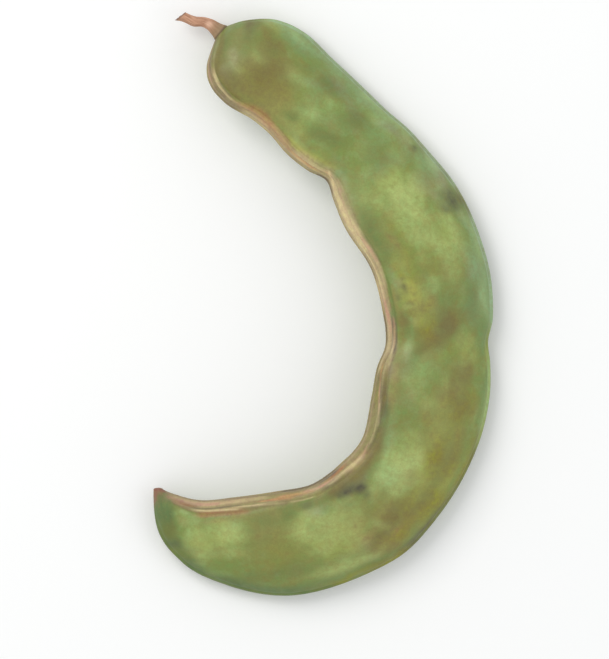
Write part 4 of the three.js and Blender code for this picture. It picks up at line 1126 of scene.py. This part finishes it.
@dataclass(frozen=True)
class Stalk:
    """The stalk: a fluted oval rod that flares at its broken end, and sinks a little into the pod.

    Its twist is in radians over the whole length. A painted highlight lies on its top at a distance
    from the broken end, and a higher power makes the highlight narrower round the stalk.
    """

    name: str = "stalk_bark"
    node: str = "stalk"
    slot: str = "stalk_bark"
    course: Course = field(default_factory=lambda: Course(STALK_STATIONS))

    twist: float = 0.9
    flutes: int = 5
    flute_depth: float = 0.2
    fibres: int = 17
    fibre_depth: float = 0.05
    grain_depth: float = 0.1
    grain_length: float = 3.5
    grain_turn: float = 2
    torn_depth: float = 0.35
    torn_size: float = 1.1
    collar_height: float = 0.25
    collar_reach: float = 1.2
    rise: float = 2.4
    root_depth: float = 1.2
    # A painted highlight on the top of the bend: where it lies, how far it reaches, how narrow it is.
    highlight_at: float = 15.2
    highlight_reach: float = 2.2
    highlight_power: int = 3

    rows: int = 150
    root_rows: int = 4
    sides: int = 96

    @property
    def turns(self) -> np.ndarray:
        """The angles round the stalk of a ring's vertices."""
        return np.linspace(0, math.tau, self.sides, endpoint=False)

    def ring(self, share: float, joint_height: float) -> np.ndarray:
        """Make one ring of the stalk.

        Args:
            share: Its place from the broken end (0) to the joint (1).
            joint_height: The height of the joint's middle over the floor.

        Returns:
            The ring's points.
        """
        at = self.course.length * share
        section = self.course.section(at)
        turns = self.turns
        twisted = turns + self.twist * share
        fluting = self.flute_depth * np.cos(self.flutes * twisted)
        fluting += self.fibre_depth * np.cos(self.fibres * twisted)
        along = np.full(self.sides, at / self.grain_length)
        around = [self.grain_turn * np.cos(turns), self.grain_turn * np.sin(turns)]
        lie = np.column_stack([along, *around])
        collar = self.collar_height * math.exp(-(((self.course.length - at) / self.collar_reach) ** 2))
        proud = fluting + self.grain_depth * rough(lie, 1.0) + collar
        sideways = -(section.half_width + proud) * np.cos(turns)
        middle_height = joint_height + self.rise * (1 - share) ** 2
        height = middle_height + (section.half_thick + proud) * np.sin(turns)
        return np.column_stack([section.middle + sideways[:, None] * section.across, height])

    def build(self, joint_height: float, finish: "StalkBark") -> bpy.types.Object:
        """Build and dress the stalk.

        Args:
            joint_height: The height of the joint's middle over the floor.
            finish: Its bark.

        Returns:
            The finished piece.
        """
        shares = np.linspace(0, 1, self.rows)
        rings = [self.ring(share, joint_height) for share in shares]
        inward = rings[-1].mean(axis=0) - rings[-2].mean(axis=0)
        inward /= np.linalg.norm(inward)
        rings[0] += self.torn_depth * rough(rings[0], self.torn_size)[:, None] * inward
        joint = rings[-1]
        depths = np.linspace(0, self.root_depth, self.root_rows + 1)[1:]
        rings += [joint + inward * depth for depth in depths]
        ends = (rings[0].mean(axis=0) + inward * self.torn_depth, rings[-1].mean(axis=0))
        skin = RingSkin(self.name, np.array(rings), ends)

        shares = np.pad(shares, (0, self.root_rows), "edge")[:, None]
        twisted = self.turns + self.twist * shares
        at = self.course.length * shares + 0 * twisted
        skin.paint("to_joint", self.course.length - at)
        # Painted highlight: paler only on the top of the bend, where the light falls.
        upward = np.sin(self.turns).clip(0) ** self.highlight_power
        skin.paint("painted_highlight", np.exp(-(((at - self.highlight_at) / self.highlight_reach) ** 2)) * upward)
        skin.paint("lie", np.stack([at, np.cos(twisted), np.sin(twisted)], axis=-1) * METRES_PER_MM)
        return skin.dress(finish.material(self.course.length), self.node)


# Finishes


@dataclass(frozen=True)
class ToneColour:
    """The colour that a tone shows."""

    tone: Tone
    colour: str


@dataclass(frozen=True)
class Line:
    """A line of colour along a margin: its place and half width as shares of the margin."""

    at: float
    width: float
    colour: str
    strength: float


@dataclass(frozen=True)
class Band:
    """The dry band along a margin: the distance that it follows, its edge, its colour and its lines."""

    distance: str
    edge: float
    softness: float
    colour: str
    lines: tuple[Line, ...]


@dataclass(frozen=True)
class PodRind:
    """Rind of a fresh legume pod: leathery and satin, smooth where it is green and dry on the margins.

    The eye sees soft mottling in greens, olive and brown with no hard outlines, a dull gloss, and a
    tan band with cream ribs where the two halves of the shell meet. Some tones are painted light and
    shade: a sheen, reflected light along the back, and shade along the edges and beyond the seam's rib.
    """

    name: str = "leathery green pod rind"
    green: str = "#778841"
    olive_green: str = "#83813D"
    light_green: str = "#839657"
    olive_levels: tuple[float, float] = (0.4, 0.7)
    olive_strength: float = 0.8
    light_levels: tuple[float, float] = (0.45, 0.75)
    light_strength: float = 0.6
    skin_tones: tuple[ToneColour, ...] = (
        ToneColour(Tone.OLIVE, "#868146"),
        ToneColour(Tone.PALE, "#A9B66B"),
        # Partly mint-green patches, partly painted reflected light along the back's edge.
        ToneColour(Tone.MINT, "#A2B973"),
        # Painted reflected light along the back's edge.
        ToneColour(Tone.PAINTED_RIM_LIGHT, "#9BB489"),
        ToneColour(Tone.GOLD, "#A19F4C"),
        # Painted sheen.
        ToneColour(Tone.MIST, "#979564"),
    )
    back_band: Band = Band("back_at", 0.84, 0.06, "#7B8357", ())
    seam_band: Band = Band(
        "seam_at",
        0.97,
        0.11,
        "#95865A",
        (
            Line(0.0, 0.25, "#BC9874", 0.3),
            Line(0.42, 0.1, "#7E6643", 0.35),
            Line(0.76, 0.12, "#C9B98A", 0.18),
            # Painted shade: a dark olive line just beyond the rib.
            Line(0.95, 0.1, "#6F6338", 0.42),
        ),
    )
    band_tones: tuple[ToneColour, ...] = (
        ToneColour(Tone.MOSS, "#8A8450"),
        ToneColour(Tone.TAN, "#BBA97C"),
        ToneColour(Tone.ORANGE, "#BC8E5F"),
        ToneColour(Tone.RUST, "#A27048"),
        ToneColour(Tone.PINK, "#C0987A"),
        # Partly the ribs' pale colour, partly painted highlight on the ridges.
        ToneColour(Tone.CREAM, "#D0BE8C"),
        # Partly dark brown lines, partly painted shade along the edges.
        ToneColour(Tone.BARK, "#6D604A"),
    )
    top_tones: tuple[ToneColour, ...] = (
        ToneColour(Tone.HAZE, "#868F90"),
        # Partly bluish-green patches, partly painted reflected light along the back's edge.
        ToneColour(Tone.COOL, "#88A471"),
        # Partly darker green patches, partly painted shade along the back's edge.
        ToneColour(Tone.LEAF, "#70894A"),
        # Partly dark green patches, partly painted shade beyond the seam band's rib.
        ToneColour(Tone.DARK, "#6C783D"),
        # Painted shade.
        ToneColour(Tone.PAINTED_DEEP_SHADE, "#5C6F3A"),
        ToneColour(Tone.BROWN, "#756935"),
        ToneColour(Tone.DUSK, "#4F4C36"),
        ToneColour(Tone.HONEY, "#928E08"),
    )
    ragged: float = 1.1
    beak: str = "#8C5F4B"
    beak_reach: float = 7
    beak_strength: float = 0.9
    pore: str = "#5A5A30"
    pore_spacing: float = 3.2
    pore_levels: tuple[float, float] = (0.14, 0.03)
    pore_strength: float = 0.2
    noise_reach: float = 0.2
    hues: tuple[float, float] = (0.484, 0.516)
    lights: tuple[float, float] = (0.925, 1.065)
    mottle_size: float = 8
    patch_size: float = 5.5
    speckle_size: float = 2.4
    grain_size: float = 0.9
    streak_length: float = 26
    streak_width: float = 0.55
    line_sway: float = 0.22
    roughness: tuple[float, float] = (0.45, 0.62)
    ior: float = 1.45
    bump_height: float = 0.12

    def material(self) -> bpy.types.Material:
        """Build the rind's material.

        Returns:
            The material.
        """
        material, tree = new_material(self.name)
        place = add_node(tree, "TexCoord", output="Object")
        sizes = (self.mottle_size, self.patch_size, self.speckle_size, self.grain_size)
        texture = {"Detail": 3, "Roughness": 0.6}
        mottle, patches, speckle, grain = (
            add_node(tree, "TexNoise", {"Vector": place, "Scale": per_metre(size), **texture})
            for size in sizes
        )
        lie = add_node(tree, "Attribute", output="Vector", attribute_name="lie")
        drawn_out = (per_metre(self.streak_length), per_metre(self.streak_width), 1.0)
        drawn = add_node(tree, "Mapping", {"Vector": lie, "Scale": drawn_out})
        drawn_noise = add_node(tree, "TexNoise", {"Vector": drawn, "Scale": 1.0, **texture})
        both = add_node(tree, "Math", {0: mottle, 1: speckle}, operation="ADD")
        clouds = add_node(tree, "Math", {0: both, 1: 1.0}, operation="SUBTRACT")
        streaks = add_node(tree, "Math", {0: drawn_noise, 1: 0.5}, operation="SUBTRACT")

        olive, light = linear(self.olive_green), linear(self.light_green)
        colour = cover(tree, linear(self.green), mottle, self.olive_levels, olive, self.olive_strength)
        colour = cover(tree, colour, patches, self.light_levels, light, self.light_strength)
        colour = self.lay_band(tree, colour, self.back_band, streaks, clouds)
        colour = self.lay_tones(tree, colour, self.skin_tones, clouds)
        colour = self.lay_band(tree, colour, self.seam_band, streaks, clouds)
        colour = self.lay_tones(tree, colour, self.band_tones, streaks)
        colour = self.lay_tones(tree, colour, self.top_tones, clouds)
        away = add_node(tree, "Attribute", output="Fac", attribute_name="to_beak")
        fray = {0: clouds, 1: self.beak_reach, 2: away}
        frayed = add_node(tree, "Math", fray, operation="MULTIPLY_ADD")
        colour = cover(tree, colour, frayed, (self.beak_reach, 0), linear(self.beak), self.beak_strength)
        spacing = {"Vector": place, "Scale": per_metre(self.pore_spacing)}
        pores = add_node(tree, "TexVoronoi", spacing, "Distance")
        colour = cover(tree, colour, pores, self.pore_levels, linear(self.pore), self.pore_strength)
        fine = add_node(tree, "Math", {0: speckle, 1: grain}, operation="ADD")
        shaded: dict[str | int, Input] = {"Color": colour}
        for name, noisy, middle, (low, high) in (
            ("Hue", speckle, 0.5, self.hues),
            ("Value", fine, 1.0, self.lights),
        ):
            levels = {"From Min": middle - self.noise_reach, "From Max": middle + self.noise_reach}
            spread = {"Value": noisy, **levels, "To Min": low, "To Max": high}
            shaded[name] = add_node(tree, "MapRange", spread)
        colour = add_node(tree, "HueSaturation", shaded)

        dull, shiny = self.roughness
        gloss = {"Value": mottle, "From Min": 0.3, "From Max": 0.7, "To Min": dull, "To Max": shiny}
        drop = {"Height": fine, "Strength": 0.5, "Distance": self.bump_height * METRES_PER_MM}
        surface = add_node(
            tree,
            "BsdfPrincipled",
            {
                "Base Color": colour,
                "Roughness": add_node(tree, "MapRange", gloss),
                "IOR": self.ior,
                "Normal": add_node(tree, "Bump", drop),
            },
        )
        add_node(tree, "OutputMaterial", {"Surface": surface})
        return material

    def lay_tones(
        self,
        tree: bpy.types.NodeTree,
        colour: Input,
        tones: tuple[ToneColour, ...],
        fray: bpy.types.NodeSocket,
    ) -> Input:
        """Lay tones over the skin, each with a soft outline that frays a little.

        Args:
            tree: The material's node tree.
            colour: The colour so far.
            tones: The tones, from the lowest to the topmost.
            fray: Noise around zero that frays their outlines.

        Returns:
            The colour with the tones over it.
        """
        uneven = add_node(tree, "Math", {0: fray, 1: self.ragged, 2: 1.0}, operation="MULTIPLY_ADD")
        for tone in tones:
            weight = add_node(tree, "Attribute", output="Fac", attribute_name=tone.tone.value)
            frayed = add_node(tree, "Math", {0: weight, 1: uneven}, operation="MULTIPLY")
            colour = cover(tree, colour, frayed, (0, 1), linear(tone.colour), shape="LINEAR")
        return colour

    def lay_band(
        self,
        tree: bpy.types.NodeTree,
        colour: Input,
        band: Band,
        streaks: bpy.types.NodeSocket,
        clouds: bpy.types.NodeSocket,
    ) -> bpy.types.NodeSocket:
        """Lay the dry band along a margin.

        Args:
            tree: The material's node tree.
            colour: The colour so far.
            band: The band.
            streaks: Noise around zero that is drawn out along the pod.
            clouds: Noise around zero that frays the band's edge.

        Returns:
            The colour with the band over it.
        """
        at = add_node(tree, "Attribute", output="Fac", attribute_name=band.distance)
        sway = {0: streaks, 1: self.line_sway, 2: at}
        swayed = add_node(tree, "Math", sway, operation="MULTIPLY_ADD")
        inside: Input = linear(band.colour)
        for line in band.lines:
            off = add_node(tree, "Math", {0: swayed, 1: line.at}, operation="SUBTRACT")
            away = add_node(tree, "Math", {0: off}, operation="ABSOLUTE")
            inside = cover(tree, inside, away, (line.width, 0), linear(line.colour), line.strength)
        rough_edge = {0: clouds, 1: band.softness, 2: swayed}
        edge = add_node(tree, "Math", rough_edge, operation="MULTIPLY_ADD")
        return cover(tree, colour, edge, (band.edge + band.softness, band.edge - band.softness), inside)


@dataclass(frozen=True)
class StalkBark:
    """Bark of a thin stalk: dry, woody and fibrous.

    The eye sees a dull salmon brown, drawn out in fibres along the stalk, with no gloss. It is
    greener where it grows into the pod and dark where it was torn, with a painted highlight on the top
    of its bend.
    """

    name: str = "dry fibrous stalk bark"
    bark: str = "#C99A7D"
    fibre: str = "#A97A5F"
    pale: str = "#E2BC9F"
    joint: str = "#907959"
    crevice: str = "#5F553A"
    # The colour of the painted highlight on the top of the bend.
    painted_highlight: str = "#F3CDB2"
    torn: str = "#7D6050"
    joint_reach: float = 8
    crevice_reach: float = 1.3
    torn_reach: float = 1.3
    fibre_length: float = 7
    fibre_width: float = 0.3
    roughness: float = 0.8
    bump_height: float = 0.15

    def material(self, length: float) -> bpy.types.Material:
        """Build the bark's material.

        Args:
            length: The stalk's length.

        Returns:
            The material.
        """
        material, tree = new_material(self.name)
        lie = add_node(tree, "Attribute", output="Vector", attribute_name="lie")
        across = per_metre(self.fibre_width)
        drawn_out = (per_metre(self.fibre_length), across, across)
        drawn = add_node(tree, "Mapping", {"Vector": lie, "Scale": drawn_out})
        fibres = add_node(tree, "TexNoise", {"Vector": drawn, "Scale": 1.0, "Detail": 3, "Roughness": 0.65})
        to_joint = add_node(tree, "Attribute", output="Fac", attribute_name="to_joint")
        painted_highlight = add_node(tree, "Attribute", output="Fac", attribute_name="painted_highlight")
        colour: Input = linear(self.bark)
        layers = (
            (fibres, (0.62, 0.35), self.fibre, 1.0),
            (fibres, (0.55, 0.75), self.pale, 0.7),
            # Painted highlight on the top of the bend.
            (painted_highlight, (0.1, 1.0), self.painted_highlight, 0.5),
            (to_joint, (self.joint_reach, 1.5), self.joint, 0.85),
            (to_joint, (self.crevice_reach, 0.1), self.crevice, 0.75),
            (to_joint, (length - self.torn_reach, length - 0.3), self.torn, 0.8),
        )
        for value, levels, layer, strength in layers:
            colour = cover(tree, colour, value, levels, linear(layer), strength)
        drop = {"Height": fibres, "Strength": 0.7, "Distance": self.bump_height * METRES_PER_MM}
        surface = add_node(
            tree,
            "BsdfPrincipled",
            {
                "Base Color": colour,
                "Roughness": self.roughness,
                "Normal": add_node(tree, "Bump", drop),
            },
        )
        add_node(tree, "OutputMaterial", {"Surface": surface})
        return material


@dataclass(frozen=True)
class FloorPaint:
    """Matt white emulsion on a smooth floor: near white, with no gloss that could catch a light."""

    name: str = "matt white emulsion"
    colour: str = "#F7F7F6"
    roughness: float = 0.9

    def material(self) -> bpy.types.Material:
        """Build and return the paint's material."""
        material, tree = new_material(self.name)
        paint = {"Base Color": linear(self.colour), "Roughness": self.roughness, "Specular IOR Level": 0.1}
        add_node(tree, "OutputMaterial", {"Surface": add_node(tree, "BsdfPrincipled", paint)})
        return material


# The studio


@dataclass(frozen=True)
class Softbox:
    """A square soft light: its place in metres, its side in metres, its power and its colour."""

    name: str
    place: tuple[float, float, float]
    side: float
    watts: float
    colour: tuple[float, float, float]


@dataclass(frozen=True)
class Studio:
    """A pale floor, soft lights, and a camera that looks straight down. Its lengths are in metres."""

    floor_side: float = 6.0
    aim: tuple[float, float, float] = (-0.009375, -0.01275, 0.017)
    camera_height: float = 6.0
    view_height: float = 0.3295
    sensor: float = 0.036
    sky: tuple[float, float, float, float] = (0.97, 0.985, 1.0, 1.0)
    sky_strength: float = 0.72
    softboxes: tuple[Softbox, ...] = (
        Softbox("key_light", (-0.9, 0.75, 1.5), 1.1, 15.0, (1.0, 0.985, 0.96)),
        Softbox("fill_light", (1.3, -0.6, 1.1), 1.4, 5.0, (0.95, 0.98, 1.0)),
    )

    def build(self) -> None:
        """Lay the floor, hang the lights and place the camera."""
        self.lay_floor()
        self.light_room()
        for softbox in self.softboxes:
            self.hang(softbox)
        self.place_camera()

    def lay_floor(self) -> None:
        """Lay the floor that the pod rests on."""
        bm = bmesh.new()
        bmesh.ops.create_grid(bm, x_segments=1, y_segments=1, size=self.floor_side / 2)
        mesh = bpy.data.meshes.new("floor")
        bm.to_mesh(mesh)
        bm.free()
        floor = bpy.data.objects.new("floor", mesh)
        mesh.materials.append(FloorPaint().material())
        bpy.context.scene.collection.objects.link(floor)

    def light_room(self) -> None:
        """Fill the room with even light, and show its colours as they are."""
        scene = bpy.context.scene
        world = bpy.data.worlds.new("even room light")
        world.use_nodes = True
        tree = world.node_tree
        tree.nodes.clear()
        room = add_node(tree, "Background", {"Color": self.sky, "Strength": self.sky_strength})
        add_node(tree, "OutputWorld", {"Surface": room})
        scene.world = world
        scene.view_settings.view_transform = "Standard"

    def hang(self, softbox: Softbox) -> None:
        """Hang a softbox so that it faces the pod.

        Args:
            softbox: The light.
        """
        data = bpy.data.lights.new(softbox.name, "AREA")
        data.shape = "SQUARE"
        data.size = softbox.side
        data.energy = softbox.watts
        data.color = softbox.colour
        lamp = bpy.data.objects.new(softbox.name, data)
        lamp.location = softbox.place
        lamp.rotation_euler = (Vector(self.aim) - lamp.location).to_track_quat("-Z", "Y").to_euler()
        lamp.visible_camera = False
        bpy.context.scene.collection.objects.link(lamp)

    def place_camera(self) -> None:
        """Put the camera high over the pod, looking straight down with +Y up in the picture."""
        data = bpy.data.cameras.new("camera")
        data.sensor_width = self.sensor / METRES_PER_MM
        data.lens = data.sensor_width * self.camera_height / self.view_height
        camera = bpy.data.objects.new("camera", data)
        camera.location = Vector(self.aim) + Vector((0, 0, self.camera_height))
        bpy.context.scene.collection.objects.link(camera)
        bpy.context.scene.camera = camera


def main() -> None:
    """Build the studio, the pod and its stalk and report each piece."""
    logging.basicConfig(level=logging.INFO, format="%(name)s: %(message)s")
    Studio().build()
    pod = Pod()
    form = pod.form()
    for piece in (pod.build(form, PodRind()), Stalk().build(form.joint_height, StalkBark())):
        triangles = sum(len(face.vertices) - 2 for face in piece.data.polygons)
        log.info("%s: %d triangles", piece.name, triangles)


if __name__ == "__main__":
    main()
